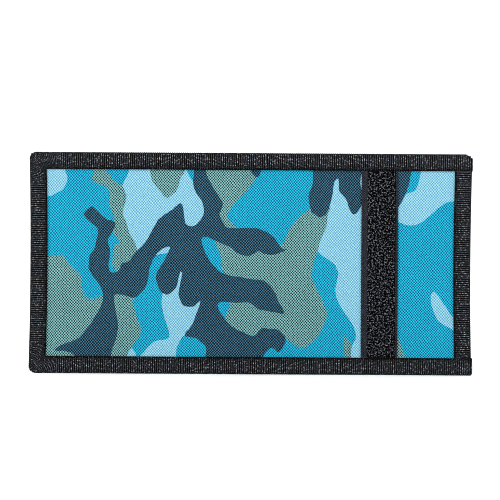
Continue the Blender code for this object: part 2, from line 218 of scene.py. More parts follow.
def inside(outline, points):
    """Which of the points lie inside the outline, as a row of true and false."""
    x, z = points[:, 0], points[:, 1]
    found = np.zeros(len(points), bool)
    corners = [tuple(p) for p in outline]
    for (x1, z1), (x2, z2) in zip(corners, corners[1:] + corners[:1]):
        if z1 == z2:
            continue
        crosses = (z1 > z) != (z2 > z)
        found ^= crosses & (x < (x2 - x1) * (z - z1) / (z2 - z1) + x1)
    return found


def ring_edges(first, count):
    return [(first + k, first + (k + 1) % count) for k in range(count)]


def grid_lines(start, stop, step, hinge=None):
    """Places from start to stop about a step apart, and closer where the cloth bends."""
    places = list(np.linspace(start, stop, max(2, round((stop - start) / step) + 1)))
    if hinge is not None:
        near = np.linspace(hinge - BEND_REACH, hinge + BEND_REACH, 13)
        places = [p for p in places if abs(p - hinge) > BEND_REACH + 0.4] + list(near)
    return sorted(p for p in places if start <= p <= stop)


def cloth(name, outline, outer, inner, materials, prints=(), holes=(), hinge=None, step=2.5,
          wrinkle=0.0, crown=None):
    """A closed sheet of cloth between two depths, cut to the outline.

    prints are (outline, material number) in painting order, and holes are cut through.
    """
    lines = [(list(outline), 0)] + [(list(h), 0) for h in holes] + [(list(p), m) for p, m in prints]
    points, edges = [], []
    for line, _ in lines:
        edges += ring_edges(len(points), len(line))
        points += [Vector(p[:2]) for p in line]
    low_x, high_x = min(p[0] for p in outline), max(p[0] for p in outline)
    low_z, high_z = min(p[1] for p in outline), max(p[1] for p in outline)
    for x in grid_lines(low_x, high_x, step, hinge):
        for z in grid_lines(low_z, high_z, step):
            points.append(Vector((x, z)))
    flat, _, triangles, *_ = geometry.delaunay_2d_cdt(points, edges, [], 0, 1e-5)
    flat = np.array([tuple(p) for p in flat])
    triangles = np.array([t for t in triangles if len(t) == 3])
    middles = flat[triangles].mean(axis=1)
    kept = inside(outline, middles)
    for hole in holes:
        kept &= ~inside(hole, middles)
    a, b, c = (flat[triangles[:, k]] for k in range(3))
    one_side, other_side = b - a, c - a
    doubled_area = np.abs(one_side[:, 0] * other_side[:, 1] - one_side[:, 1] * other_side[:, 0])
    kept &= doubled_area > 1e-7
    triangles, middles = triangles[kept], middles[kept]
    paint = np.zeros(len(triangles), np.int32)
    for print_outline, number in prints:
        paint[inside(print_outline, middles)] = number
    used = np.unique(triangles)
    renumber = {int(old): new for new, old in enumerate(used)}
    flat = flat[used]
    front = [tuple(renumber[int(v)] for v in t) for t in triangles]

    def ripple(x, z):
        rise = wrinkle * noise.noise(Vector((x / 21, z / 34, 0.3))) if wrinkle else 0.0
        return rise + (crown(x, z) if crown else 0.0)

    count = len(flat)
    points = [(x, outer - ripple(x, z), z) for x, z in flat]
    points += [(x, inner - ripple(x, z), z) for x, z in flat]
    border = {}
    for t in front:
        for k in range(3):
            edge = (t[k], t[(k + 1) % 3])
            border[edge] = edge[::-1] not in border and border.get(edge, True)
            if edge[::-1] in border:
                border[edge] = border[edge[::-1]] = False
    rim = [edge for edge, is_border in border.items() if is_border]
    faces = [t for t in front] + [tuple(v + count for v in reversed(t)) for t in front]
    faces += [(b, a, a + count, b + count) for a, b in rim]
    face_materials = list(paint) + list(paint) + [0] * len(rim)
    return make_piece(name, points, faces, materials, face_materials)


def loft(name, rings, materials, crease=50, spread=None):
    """A closed tube through rings of points that all have the same number of points."""
    size = len(rings[0])
    points = [p for ring in rings for p in ring]
    faces = []
    for r in range(len(rings) - 1):
        for k in range(size):
            a = r * size + k
            b = r * size + (k + 1) % size
            faces.append((a, b, b + size, a + size))
    faces.append(tuple(reversed(range(size))))
    faces.append(tuple((len(rings) - 1) * size + k for k in range(size)))
    return make_piece(name, points, faces, materials, None, crease, spread)


class Bundle:
    """Many small closed tubes gathered into one mesh."""

    def __init__(self):
        self.points = []
        self.faces = []

    def tube(self, path, radius, sides=4, taper=1.0):
        """A round tube along the path, with closed ends that are taper times as thick."""
        first = len(self.points)
        for i, place in enumerate(path):
            ahead = Vector(path[min(i + 1, len(path) - 1)]) - Vector(path[max(i - 1, 0)])
            across = ahead.cross(Vector((0, 1, 0)))
            if across.length < 1e-6:
                across = ahead.cross(Vector((1, 0, 0)))
            across.normalize()
            up = ahead.cross(across).normalized()
            here = radius * (taper if i in (0, len(path) - 1) else 1.0)
            for k in range(sides):
                angle = 2 * math.pi * k / sides
                self.points.append(
                    tuple(Vector(place) + here * (across * math.cos(angle) + up * math.sin(angle)))
                )
        for i in range(len(path) - 1):
            for k in range(sides):
                a = first + i * sides + k
                b = first + i * sides + (k + 1) % sides
                self.faces.append((b, a, a + sides, b + sides))
        self.faces.append(tuple(first + k for k in range(sides)))
        last = first + (len(path) - 1) * sides
        self.faces.append(tuple(last + k for k in reversed(range(sides))))

    def piece(self, name, materials, slot=None, crease=60):
        return make_piece(name, self.points, self.faces, materials, None, crease)


# ---------------------------------------------------------------- materials


def node(tree, kind, inputs=None, **settings):
    """A shader node with its settings, and its inputs as values or other nodes' outputs."""
    made = tree.nodes.new(kind)
    for key, value in settings.items():
        setattr(made, key, value)
    for key, value in (inputs or {}).items():
        if isinstance(value, bpy.types.NodeSocket):
            tree.links.new(value, made.inputs[key])
        else:
            made.inputs[key].default_value = value
    return made


def new_material(name, roughness, metallic=0.0, sheen=0.0, gloss=0.5):
    material = bpy.data.materials.new(name)
    material.use_nodes = True
    shader = material.node_tree.nodes["Principled BSDF"]
    shader.inputs["Roughness"].default_value = roughness
    shader.inputs["Metallic"].default_value = metallic
    shader.inputs["Sheen Weight"].default_value = sheen
    shader.inputs["Specular IOR Level"].default_value = gloss
    return material, material.node_tree, shader


LIGHT_ON_CLOTH = 1.75


def linear(red, green, blue):
    """A shader colour that looks like this one, from 0 to 255 on screen, under the studio's light."""
    shares = [c / 255 for c in (red, green, blue)]
    straight = [c / 12.92 if c <= 0.04045 else ((c + 0.055) / 1.055) ** 2.4 for c in shares]
    return tuple(min(1.0, c / LIGHT_ON_CLOTH) for c in straight) + (1.0,)


def math_node(tree, operation, *values):
    made = tree.nodes.new("ShaderNodeMath")
    made.operation = operation
    for k, value in enumerate(values):
        if isinstance(value, bpy.types.NodeSocket):
            tree.links.new(value, made.inputs[k])
        else:
            made.inputs[k].default_value = value
    return made.outputs[0]


def rest_place(tree, scale=1.0):
    """The place on the cloth before anything bends, in metres times scale, as separate u and v."""
    uv = node(tree, "ShaderNodeUVMap", uv_map="rest")
    scaled = node(tree, "ShaderNodeVectorMath", {0: uv.outputs[0], 3: scale}, operation="SCALE")
    parts = node(tree, "ShaderNodeSeparateXYZ", {0: scaled.outputs[0]})
    return scaled.outputs[0], parts.outputs[0], parts.outputs[1]


def waves(tree, u, v):
    """The crossing threads of a weave: near 1 on a raised thread and near -1 in the gaps."""
    across = math_node(tree, "SINE", math_node(tree, "MULTIPLY", u, 2 * math.pi))
    along = math_node(tree, "SINE", math_node(tree, "MULTIPLY", v, 2 * math.pi))
    return math_node(tree, "MULTIPLY", across, along)


def mix_colours(tree, share, first, second):
    made = node(tree, "ShaderNodeMix", data_type="RGBA")
    for index, value in ((0, share), (6, first), (7, second)):
        if isinstance(value, bpy.types.NodeSocket):
            tree.links.new(value, made.inputs[index])
        else:
            made.inputs[index].default_value = value
    return made.outputs[2]


def noise_value(tree, place, scale, detail=2.0):
    found = node(tree, "ShaderNodeTexNoise", {"Vector": place, "Scale": scale, "Detail": detail})
    return found.outputs["Fac"]


def between(tree, value):
    """The value, kept from 0 to 1."""
    return math_node(tree, "MINIMUM", math_node(tree, "MAXIMUM", value, 0.0), 1.0)


def woven(name, shaded_gap_colour, lit_thread_colour, pitch, relief=0.0001, sharp=1.5, fill=0.5):
    """Woven cloth whose threads, which fill a share of it, are painted lighter than the gaps between: painted
    highlights on the threads and painted shade in the gaps.
    """
    uneven, wear = 0.9, 0.2
    material, tree, shader = new_material(name, 0.8, sheen=0.01, gloss=0.1)
    place, u, v = rest_place(tree, 1 / MM)
    drift = math_node(tree, "MULTIPLY_ADD", noise_value(tree, place, 0.12), 0.9, 0.0)
    u = math_node(tree, "MULTIPLY_ADD", u, 1 / pitch[0], drift)
    v = math_node(tree, "MULTIPLY_ADD", v, 1 / pitch[1], drift)
    height = math_node(tree, "MULTIPLY_ADD", waves(tree, u, v), sharp, fill)
    speckle = math_node(tree, "MULTIPLY_ADD", noise_value(tree, place, 1.1, 3.0), uneven, -uneven / 2)
    patches = math_node(tree, "MULTIPLY_ADD", noise_value(tree, place, 0.04), wear, -wear / 2)
    light = between(tree, math_node(tree, "ADD", math_node(tree, "ADD", height, speckle), patches))
    # Painted light: the thread colour is a painted highlight on the threads and the gap colour painted shade
    # between them.
    colour = mix_colours(tree, light, shaded_gap_colour, lit_thread_colour)
    tree.links.new(colour, shader.inputs["Base Color"])
    bump = node(tree, "ShaderNodeBump", {"Height": height, "Strength": 0.5, "Distance": relief})
    tree.links.new(bump.outputs[0], shader.inputs["Normal"])
    return material


def grosgrain(name, shaded_gap_colour, lit_rib_colour, fleck_and_highlight_colour, pitch, width):
    """Ribbed tape with painted light: black painted shade between the ribs, and pale flecks of painted
    highlight where the ribs catch the light.

    The tape's map runs along it in u and from its folded edge in v. Painted shade makes it darkest where it
    turns over the edge and where the stitches pull it down beside its free edge.
    """
    material, tree, shader = new_material(name, 0.6, gloss=0.03)
    place, run, across = rest_place(tree, 1 / MM)
    turn = math_node(tree, "MULTIPLY", run, 2 * math.pi / pitch)
    # Painted highlight on each rib and painted shade, down to black, between the ribs.
    rib = math_node(tree, "MULTIPLY_ADD", math_node(tree, "COSINE", turn), 0.7, 0.5)
    grain = noise_value(tree, place, 1.1, 3.0)
    ribs = between(tree, math_node(tree, "ADD", rib, math_node(tree, "MULTIPLY_ADD", grain, 2.4, -1.4)))
    # Painted shade: the ribs are painted darker towards both edges of the tape, darkest at the free edge.
    off_middle = math_node(tree, "MULTIPLY_ADD", across, 2 / width, -0.9)
    off_middle = math_node(tree, "POWER", math_node(tree, "ABSOLUTE", off_middle), 3.0)
    lit_middle = between(tree, math_node(tree, "SUBTRACT", 1.0, off_middle))
    ribs = math_node(tree, "MULTIPLY", ribs, math_node(tree, "MULTIPLY_ADD", lit_middle, 0.85, 0.15))
    base = mix_colours(tree, ribs, shaded_gap_colour, lit_rib_colour)
    # Painted highlights: pale flecks on the lit ribs.
    rib_glint = between(tree, math_node(tree, "MULTIPLY_ADD", noise_value(tree, place, 1.2, 1.0), 9.0, -5.1))
    rib_glint = math_node(tree, "MULTIPLY", rib_glint, ribs)
    tree.links.new(mix_colours(tree, rib_glint, base, fleck_and_highlight_colour), shader.inputs["Base Color"])
    bump = node(tree, "ShaderNodeBump", {"Height": grain, "Strength": 0.5, "Distance": 0.0001})
    tree.links.new(bump.outputs[0], shader.inputs["Normal"])
    return material


def speckled(name, colour, fleck_and_highlight_colour, fleck_size, roughness, share=0.3, gloss=0.4, metallic=0.0):
    """A surface with small lighter flecks, such as yarn, dust on tape or fine wear on metal; on the loop pile
    the flecks are painted highlights.
    """
    material, tree, shader = new_material(name, roughness, metallic, 0.0, gloss)
    place, _, _ = rest_place(tree, 1 / (fleck_size * MM))
    grain = noise_value(tree, place, 1.0, 4.0)
    flecks = between(tree, math_node(tree, "MULTIPLY_ADD", grain, 1 / share, 0.5 - 0.55 / share))
    tree.links.new(mix_colours(tree, flecks, colour, fleck_and_highlight_colour), shader.inputs["Base Color"])
    bump = node(tree, "ShaderNodeBump", {"Height": grain, "Strength": 0.4, "Distance": 0.00005})
    tree.links.new(bump.outputs[0], shader.inputs["Normal"])
    return material


def clear_film(name):
    """Clear soft vinyl with faint scuffs, shown as a thin dark sheet, which renders with less grain."""
    material, tree, shader = new_material(name, 0.12)
    place, _, _ = rest_place(tree, 60)
    scuffs = noise_value(tree, place, 2.0, 3.0)
    roughness = math_node(tree, "MULTIPLY_ADD", scuffs, 0.2, 0.25)
    tree.links.new(roughness, shader.inputs["Roughness"])
    shader.inputs["Base Color"].default_value = linear(40, 43, 47)
    shader.inputs["Alpha"].default_value = 0.12
    bump = node(tree, "ShaderNodeBump", {"Height": scuffs, "Strength": 0.1, "Distance": 0.0002})
    tree.links.new(bump.outputs[0], shader.inputs["Normal"])
    return material


# In every woven cloth below, the thread colour is a painted highlight on the threads and the gap colour
# painted shade between them.
WEAVE_PITCH = (1.46, 1.60)
RIB_PITCH = 1.18
CAMO = [
    woven("camo_cyan", linear(0, 72, 138), linear(38, 227, 255), WEAVE_PITCH),
    woven("camo_light", linear(98, 166, 214), linear(184, 248, 255), WEAVE_PITCH),
    woven("camo_green", linear(0, 28, 36), linear(156, 222, 221), WEAVE_PITCH, fill=0.46),
    woven("camo_dark", linear(0, 0, 10), linear(76, 140, 172), WEAVE_PITCH, sharp=1.9, fill=0.14),
]
# The binding tape's black is painted shade between the ribs, its rib grey a painted highlight on them, and
# its pale flecks painted highlights.
TAPE = grosgrain(
    "binding_tape", linear(0, 0, 0), linear(62, 66, 72), linear(196, 200, 207), RIB_PITCH, TAPE_WIDTH
)
THREAD = speckled("stitch_thread", linear(2, 2, 4), linear(40, 42, 46), 0.3, 0.6, gloss=0.2)
POCKET_THREAD = speckled("pocket_thread", linear(62, 65, 72), linear(132, 136, 146), 0.3, 0.6, gloss=0.2)
HEM_CLOTH = woven("hem_cloth", linear(20, 21, 25), linear(104, 108, 118), (0.9, 0.9))
# The loop pile's pale flecks are painted highlights on its fibres.
PILE = speckled("loop_pile", linear(6, 7, 10), linear(158, 160, 172), 1.0, 0.7, share=0.12, gloss=0.03)
PILE_GROUND = speckled("loop_ground", linear(0, 0, 1), linear(22, 24, 28), 0.7, 0.8, gloss=0.03)
SELVEDGE = woven("strip_selvedge", linear(2, 4, 8), linear(66, 69, 80), (0.9, 1.2))
HOOKS = speckled("hook_nylon", linear(14, 15, 17), linear(70, 72, 76), 0.6, 0.4)
LINING_CLOTH = woven("lining_cloth", linear(4, 5, 8), linear(58, 61, 68), (0.8, 0.8), relief=0.00005)
POCKET_CLOTH = woven("pocket_cloth", linear(4, 5, 9), linear(72, 76, 84), WEAVE_PITCH)
STIFFENER = speckled("stiffener_sheet", linear(60, 62, 64), linear(96, 98, 100), 1.5, 0.6)
FILM = clear_film("window_film")
NYLON = speckled("zip_nylon", linear(10, 11, 12), linear(56, 58, 62), 0.6, 0.35)
METAL = speckled("zip_metal", linear(170, 170, 168), linear(214, 214, 210), 0.8, 0.32, metallic=1.0)


# ---------------------------------------------------------------- printed camouflage

# Each patch is a closed smooth line round these (x, z) points.
# Points past the cloth's edge let a patch run off it.
CYAN, LIGHT, GREEN, DARK = range(4)
LIGHT_PATCHES = (
    [(-122, 122), (-101.4, 122), (-101.5, 111), (-100.1, 106.4), (-102.2, 101), (-105, 98.9), (-108.3, 97.2),
     (-112, 96.4), (-122, 96)],
    [(-66.5, 122), (-66.6, 110.8), (-69.7, 103.8), (-71, 98), (-71, 88), (-68, 78), (-66, 70), (-63, 64),
     (-50, 75), (-40, 85), (-36, 78), (-28, 78), (-22, 90), (-28, 101), (-31, 104.5), (-34.8, 110.6),
     (-36, 122)],
    [(47, 112), (40, 100), (38, 80), (36, 70), (36.7, 67.5), (40, 64.6), (45.7, 60.5), (47.9, 55.8),
     (46.8, 48.8), (46.6, 45.3), (48.8, 38.2), (54.3, 30.1), (57, 25.1), (57.7, 20.5), (55.6, 15.1),
     (55.2, 8), (55.2, -1), (64, -1), (66, 20), (70, 45), (72, 70), (68, 95), (64, 112), (64, 122)],
    [(92.7, 122), (92.7, 111), (90, 101.5), (85, 99), (82, 94), (79, 90), (79, 85), (85.5, 82), (91, 82.4),
     (95, 84.9), (99.6, 88.8), (103.7, 92.4), (108, 94.7), (112, 95), (122, 95), (122, 122)],
    [(99.1, 44.9), (100.7, 45.6), (103.7, 41.9), (107.3, 36.5), (110.5, 32.4), (122, 22), (116, 22),
     (110.5, 25.1), (104.1, 28.7), (100.7, 33.3), (98.6, 40.6)],
    [(-44, 71), (-52.5, 66), (-51.2, 64.9), (-48.6, 65.5), (-45, 65.9), (-43, 67)],
    [(-70, -1), (-67, 10), (-64.6, 13.9), (-63.3, 12.4), (-62.2, 9.8), (-62, -1)],
    [(-60.5, -1), (-60, 9), (-57.6, 12.1), (-54.5, 15.8), (-51.3, 17.9), (-44.7, 19.4), (-44.2, 23),
     (-46.9, 31.2), (-48.4, 40), (-46, 48), (-40, 58), (-36, 58), (-36, 45), (-28, 42), (-25, 40), (-27, 30),
     (-33, 22), (-36.7, 20.3), (-39.5, 15.5), (-40.4, 10.2), (-40.5, -1)],
)
GREEN_PATCHES = (
    [(-85.8, 122), (-85.8, 110.5), (-87, 106.3), (-84.7, 103.9), (-81.3, 103), (-77.1, 99.3), (-77.3, 92.5),
     (-75.4, 87.2), (-74.3, 84.5), (-76, 81), (-74.8, 76.8), (-71.6, 72), (-74.1, 69.8), (-75.1, 64),
     (-74.9, 58), (-70, 56), (-62, 62), (-62.5, 70), (-66.1, 76.8), (-67.5, 81.6), (-69.7, 87.5), (-68.5, 94),
     (-68, 97.5), (-70.6, 102.8), (-75.6, 106), (-76.2, 108), (-79.2, 111.5), (-79.2, 122)],
    [(-55.1, 122), (-55.1, 111), (-53.6, 105), (-50.2, 100.6), (-46.8, 96.6), (-44.6, 96.4), (-40.3, 100.5),
     (-38.6, 106.4), (-36.2, 111), (-35.5, 122)],
    [(-26, 122), (-26, 108), (-18, 95), (-18, 85), (-14, 78), (-8.1, 80.4), (-12.6, 84.8), (-11.6, 89.3),
     (-7.7, 94.2), (-0.1, 102.6), (2.6, 106.9), (5, 110), (6, 122)],
    [(31.9, 90.3), (27.4, 86.8), (21.3, 79.6), (19.3, 75), (16.4, 70.6), (8, 72), (-8, 70), (-17, 74),
     (-19.1, 71.5), (-17, 66.5), (-15.6, 62.5), (-16.3, 60), (-14.9, 56.4), (-12, 50), (-11, 42), (-11.3, 37),
     (-13.2, 31.5), (-12, 24), (0, 18), (10, 20), (16, 18), (19.2, 19.8), (22.5, 17.2), (28, 14.6),
     (30.7, 15.1), (36.9, 21.1), (40.6, 28.5), (42, 33.5), (39.5, 40.6), (34.9, 49.8), (33.5, 54),
     (34.6, 61.5), (36.7, 67.5), (37.9, 72.8), (41.1, 80.3), (42.3, 88), (43.3, 91.3), (40, 95), (34, 93)],
    [(51.2, 21), (55, 17.5), (55.4, 14), (55.2, 8), (55.2, -1), (52, -1), (51.9, 8), (51.2, 16)],
    [(78, 24), (80.9, 21), (82.3, 17.4), (84.1, 11.5), (85, 8), (85, -1), (76, -1)],
    [(-74, 45), (-63.6, 41.4), (-64.2, 39.4), (-61.6, 30.2), (-59.6, 25.2), (-59.8, 21.8), (-64.8, 13.6),
     (-67.1, 10.3), (-68, -1), (-78, -1), (-78, 20), (-76, 44)],
    [(-122, 64), (-110, 64), (-105, 64.4), (-102, 64.3), (-99, 59.8), (-93.4, 54.5), (-92.1, 52),
     (-92.4, 48.5), (-90.1, 42.1), (-87.5, 40.9), (-83.9, 41.2), (-81, 42.3), (-79, 40), (-80, 30), (-90, 12),
     (-90, -1), (-122, -1)],
)
DARK_PATCHES = (
    [(-0.5, 122), (0.3, 110.8), (3.2, 107.6), (5.5, 111), (6, 122)],
    [(33.6, 122), (33.8, 111), (33.7, 104.3), (31.6, 98), (32.7, 90.2), (34.4, 87.7), (38.5, 86),
     (42.1, 89.6), (44.5, 97.8), (45.5, 105), (47.6, 107.1), (48, 103.5), (48.2, 100.4), (51.9, 96),
     (53.7, 91), (56.4, 87.6), (60.2, 92), (61, 98), (59.7, 105), (60.8, 112), (60.8, 122)],
    [(87.3, 122), (87.3, 110), (85.3, 101.3), (82.6, 95), (80.9, 92), (78, 88), (72, 95), (70, 122)],
    # the big patch: from the top edge down its left arm, round the foot, and back up the right arm
    [(-31.1, 122), (-31.1, 111), (-31.6, 104.8), (-30.4, 99.9), (-26.3, 93.2), (-25.9, 87), (-29.5, 81.8),
     (-32, 80.7), (-35.5, 82.2), (-36.9, 90.5), (-38.5, 93.3), (-42.6, 89.9), (-49.2, 85.4), (-51.9, 81.7),
     (-57, 72.6), (-62.4, 66.5), (-67, 61), (-70.2, 60.5), (-72, 56), (-76.1, 55.2), (-77.5, 59.3),
     (-76.6, 67), (-78, 72.7), (-75.1, 78), (-73.9, 82.4), (-79, 84.6), (-83.5, 88.5), (-86.9, 91.2),
     (-90.6, 88), (-90.4, 85.3), (-84.6, 80.2), (-83.4, 77.5), (-85.4, 68), (-87.8, 64.6), (-88.2, 60),
     (-87.8, 56), (-81.3, 46.3), (-80.7, 39), (-85.8, 29.3), (-92, 20.9), (-95.5, 18.3), (-103.5, 15.3),
     (-106.5, 12.8), (-104, 12.1), (-100.8, 12.1), (-95.5, 9.3), (-95, -1), (-76.2, -1), (-75.9, 9.8),
     (-72.6, 21.1), (-72.2, 27.3), (-74.2, 39), (-73.2, 43.2), (-66, 41.9), (-63.4, 41.5), (-60.5, 43.2),
     (-57.2, 47.3), (-55.8, 52), (-54.9, 58), (-51.9, 64.6), (-47.2, 68.7), (-44.1, 69.5), (-44.5, 67.4),
     (-47.6, 60.8), (-50.2, 57), (-51.5, 53.3), (-49.5, 45.8), (-45, 43.3), (-40.5, 47.2), (-39.6, 50.5),
     (-38.1, 56), (-37.3, 55.2), (-38.6, 47), (-39.1, 42.8), (-36.6, 37.6), (-33, 36.6), (-30, 37.5),
     (-27.4, 40.2), (-27.9, 37), (-31.4, 27.6), (-35.9, 21.2), (-33, 20.3), (-28.6, 19), (-24, 14.3),
     (-24.3, 9.3), (-24.5, -1), (6.5, -1), (7.3, 9.4), (11, 14.4), (13.9, 13.5), (15.5, 12.1), (18.6, 16),
     (19.4, 19.9), (15.5, 24.2), (11, 25), (6.3, 25.2), (3.2, 21.6), (0.7, 21.1), (-5, 23.7), (-8.5, 25),
     (-14.5, 31.2), (-17.8, 37.3), (-16.7, 39.2), (-14, 39.5), (-8, 39.1), (-0.6, 39.1), (4.4, 35.5),
     (8, 34.9), (14, 33.7), (18, 33.2), (18.6, 34.3), (15.1, 40.8), (13, 45.6), (7.7, 51.1), (0.7, 51.9),
     (-5.2, 53.2), (-11.5, 53.9), (-17.8, 57), (-23.8, 64.6), (-26.8, 73.6), (-23.5, 74.7), (-17.6, 72.1),
     (-10.8, 69.3), (-7.7, 66.4), (-1.3, 64.6), (4.4, 67.2), (7.3, 65.9), (12.4, 65.4), (19.2, 67.9),
     (16.6, 69.3), (12, 75.6), (5, 79.3), (-1, 79.9), (-9.6, 79.8), (-13.5, 80.8), (-16.9, 87),
     (-15.1, 93), (-17, 96.3), (-21.8, 104.2), (-24.7, 111.2), (-24.7, 122)],
)


def printed(patch):
    """A patch's outline as it meets the weave: smooth, with the slight raggedness of ink on threads."""
    outline = []
    for p in closed_curve(patch, 1.1):
        shake = noise.noise_vector(Vector((p.x / 1.3, p.y / 1.3, 7.0)))
        outline.append((p.x + 0.28 * shake.x, p.y + 0.28 * shake.y))
    return outline


PRINTS = (
    [(printed(p), LIGHT) for p in LIGHT_PATCHES]
    + [(printed(p), GREEN) for p in GREEN_PATCHES]
    + [(printed(p), DARK) for p in DARK_PATCHES]
)


def prints_within(left, right):
    """The prints that reach the stretch of cloth from left to right."""
    return [
        (outline, number)
        for outline, number in PRINTS
        if min(p[0] for p in outline) < right and max(p[0] for p in outline) > left
    ]


# ---------------------------------------------------------------- cloth layers


def layer_outline(span, left, right, bottom, top, radius):
    """The part of a layer that lies in a span; both left corners and the top right one are rounded."""
    start = max(span.start, left)
    stop = min(span.stop, right)
    corners = {"left": ("bl", "tl"), "right": ("tr",)}.get(span.name, ())
    return rectangle(start, stop, bottom, top, radius, corners)


def make_outer_cloth():
    for span in SPANS:
        outline = layer_outline(span, CLOTH_LEFT, CLOTH_RIGHT, SHELL.bottom, SHELL.top, CLOTH_CORNER)
        piece = cloth(
            f"outer_cloth_{span.name}", outline, SHELL.outer, SHELL.inner, CAMO,
            prints=prints_within(span.start, span.stop), hinge=span.hinge, wrinkle=0.12,
        )
        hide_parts(*[f"{body}_shell" for body in bodies_of(span)])
        bend(piece)


def make_inner_layer(name, depth, top, radius):
    """A plain cloth layer behind the printed one, in four pieces as the printed one is."""
    for span in SPANS:
        outline = layer_outline(span, CLOTH_LEFT, CLOTH_RIGHT, SHELL.bottom, top, radius)
        piece = cloth(f"{name}_{span.name}", outline, depth.outer, depth.inner, [LINING_CLOTH],
                      hinge=span.hinge, step=4.0, wrinkle=0.1)
        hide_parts(*[f"{body}_{name}" for body in bodies_of(span)])
        bend(piece)


def make_stiffeners():
    """The board in each panel, between the printed cloth and the lining."""
    for body in ("left_panel", "centre", "right_panel"):
        part = box(f"{body}_stiffener")
        outline = rectangle(part.left, part.right, part.bottom, part.top)
        board = cloth(f"{body}_stiffener_board", outline, part.outer, part.inner, [STIFFENER], step=6.0)
        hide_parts(f"{body}_stiffener")
        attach(board, body)


# ---------------------------------------------------------------- ribbed binding tape

RIB_HEIGHT = 0.28
FLAP_CROWN = 0.3
SIDE_DRAW = 0.8
BOTTOM_TAIL = 0.4
CHAMFER = 3.6
CHAMFER_SLOPE = 0.65
TAIL_CORNER = 1.3
RIB_STEPS = 4
STITCH_INSET = 1.3
STITCH_PITCH = 2.6
Station = namedtuple("Station", "edge free run")


def fold_profile(width, outer, inner):
    """A folded tape's section as (distance from the edge, y, rib share, y direction), once round."""
    bend_radius = 0.9
    skin = TAPE_THICKNESS

    def flap(y, side, rise):
        crown = y - side * rise
        groove = (
            (width, y + side * skin, 0, 0), (width, y + side * 0.15, 0.6, 1), (width - 0.15, y, 1, 1),
            (width - STITCH_INSET + 0.4, y, 1, 1), (width - STITCH_INSET, y + side * 0.22, 0.4, 1),
            (width - STITCH_INSET - 0.4, y, 1, 1), (width * 0.68, crown * 0.8 + y * 0.2, 1, 1),
            (width / 2, crown, 1, 1), (width * 0.3, crown * 0.8 + y * 0.2, 1, 1),
            (bend_radius + 0.5, y, 1, 1),
        )
        return [(distance, depth, share, -side * facing) for distance, depth, share, facing in groove]

    outside = flap(outer, 1, FLAP_CROWN)
    for k in range(5):
        angle = math.pi / 2 * k / 4
        outside.append((bend_radius * (1 - math.sin(angle)), outer + bend_radius * (1 - math.cos(angle)), 1,
                        -math.cos(angle)))
    for k in range(5):
        angle = math.pi / 2 * (1 - k / 4)
        outside.append((bend_radius * (1 - math.sin(angle)), inner - bend_radius * (1 - math.cos(angle)), 1,
                        math.cos(angle)))
    outside += list(reversed(flap(inner, -1, 0.0)))
    lining = [(width - 0.3, inner - skin, 0, 0), (skin + 0.1, inner - skin, 0, 0),
              (skin + 0.1, outer + skin, 0, 0), (width - 0.3, outer + skin, 0, 0)]
    return outside + lining


def folded_tape(name, stations, width, outer, inner, cad_nodes):
    """Tape folded over an edge, with real ribs across it; stations run along the edge.

    inner is the inside face's y, or a rule that gives it from a station's place along the tape.
    """
    rings = []
    for station in stations:
        profile = fold_profile(width, outer, inner(station.run) if callable(inner) else inner)
        rise = RIB_HEIGHT * (0.5 * math.cos(2 * math.pi * station.run / RIB_PITCH) - 0.5)
        inward = (station.free - station.edge) / width
        across = inward.normalized()
        ring = []
        for distance, y, share, facing in profile:
            place = station.edge + inward * distance
            outward = share * rise * math.sqrt(max(0.0, 1 - facing * facing))
            place = place - across * outward
            ring.append((place.x, y + share * rise * facing, place.y))
        rings.append(ring)
    spread = [(station.run, distance) for station in stations for distance, *_ in profile]
    piece = loft(name, rings, [TAPE], spread=spread)
    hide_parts(*cad_nodes)
    return piece


def straight_stations(start, stop, inward, width, first_run=0.0):
    """Stations from start to stop, a few to each rib; inward points to the tape's free edge."""
    start, stop, inward = Vector(start), Vector(stop), Vector(inward)
    length = (stop - start).length
    count = max(2, round(length / RIB_PITCH * RIB_STEPS))
    made = []
    for k in range(count + 1):
        edge = start.lerp(stop, k / count)
        made.append(Station(edge, edge + inward * width, first_run + length * k / count))
    return made


def corner_stations(corner, turn_start, width, first_run):
    """Stations round a rounded corner, with the free edge drawn together in a tight mitre."""
    towards = Vector((math.cos(turn_start + math.pi / 4), math.sin(turn_start + math.pi / 4)))
    centre = corner - towards * CORNER_RADIUS * math.sqrt(2)
    mitre_radius = 0.5
    mitre = corner - towards * (width + mitre_radius) * math.sqrt(2)
    length = CORNER_RADIUS * math.pi / 2
    count = round(length / RIB_PITCH * RIB_STEPS)
    made = []
    for k in range(1, count):
        angle = turn_start + math.pi / 2 * k / count
        direction = Vector((math.cos(angle), math.sin(angle)))
        made.append(Station(centre + direction * CORNER_RADIUS, mitre + direction * mitre_radius,
                            first_run + length * k / count))
    return made


def draw_in(stations, towards):
    """The binding pulls the wallet's short sides in a little between the corners."""
    drawn = []
    for s in stations:
        share = (s.edge.y - BOTTOM) / (TOP - BOTTOM)
        shift = Vector((towards * SIDE_DRAW * math.sin(math.pi * share), 0))
        drawn.append(Station(s.edge + shift, s.free + shift, s.run))
    return drawn


def ease_corner(stations, corner, width):
    """Splays the ribs of a straight run near a corner, so that the free edge ends at the mitre."""
    reach = 3 * CORNER_RADIUS
    eased = []
    for s in stations:
        along = s.edge - corner
        distance = max(abs(along.x), abs(along.y))
        if distance < CORNER_RADIUS + reach:
            share = (CORNER_RADIUS + reach - distance) / reach
            shift = along.normalized() * share * (width + 0.5 - CORNER_RADIUS)
            if abs(along.x) > abs(along.y):
                shift = Vector((math.copysign(share * (width + 0.5 - CORNER_RADIUS), along.x), 0))
            else:
                shift = Vector((0, math.copysign(share * (width + 0.5 - CORNER_RADIUS), along.y)))
            s = Station(s.edge, s.free + shift, s.run)
        eased.append(s)
    return eased


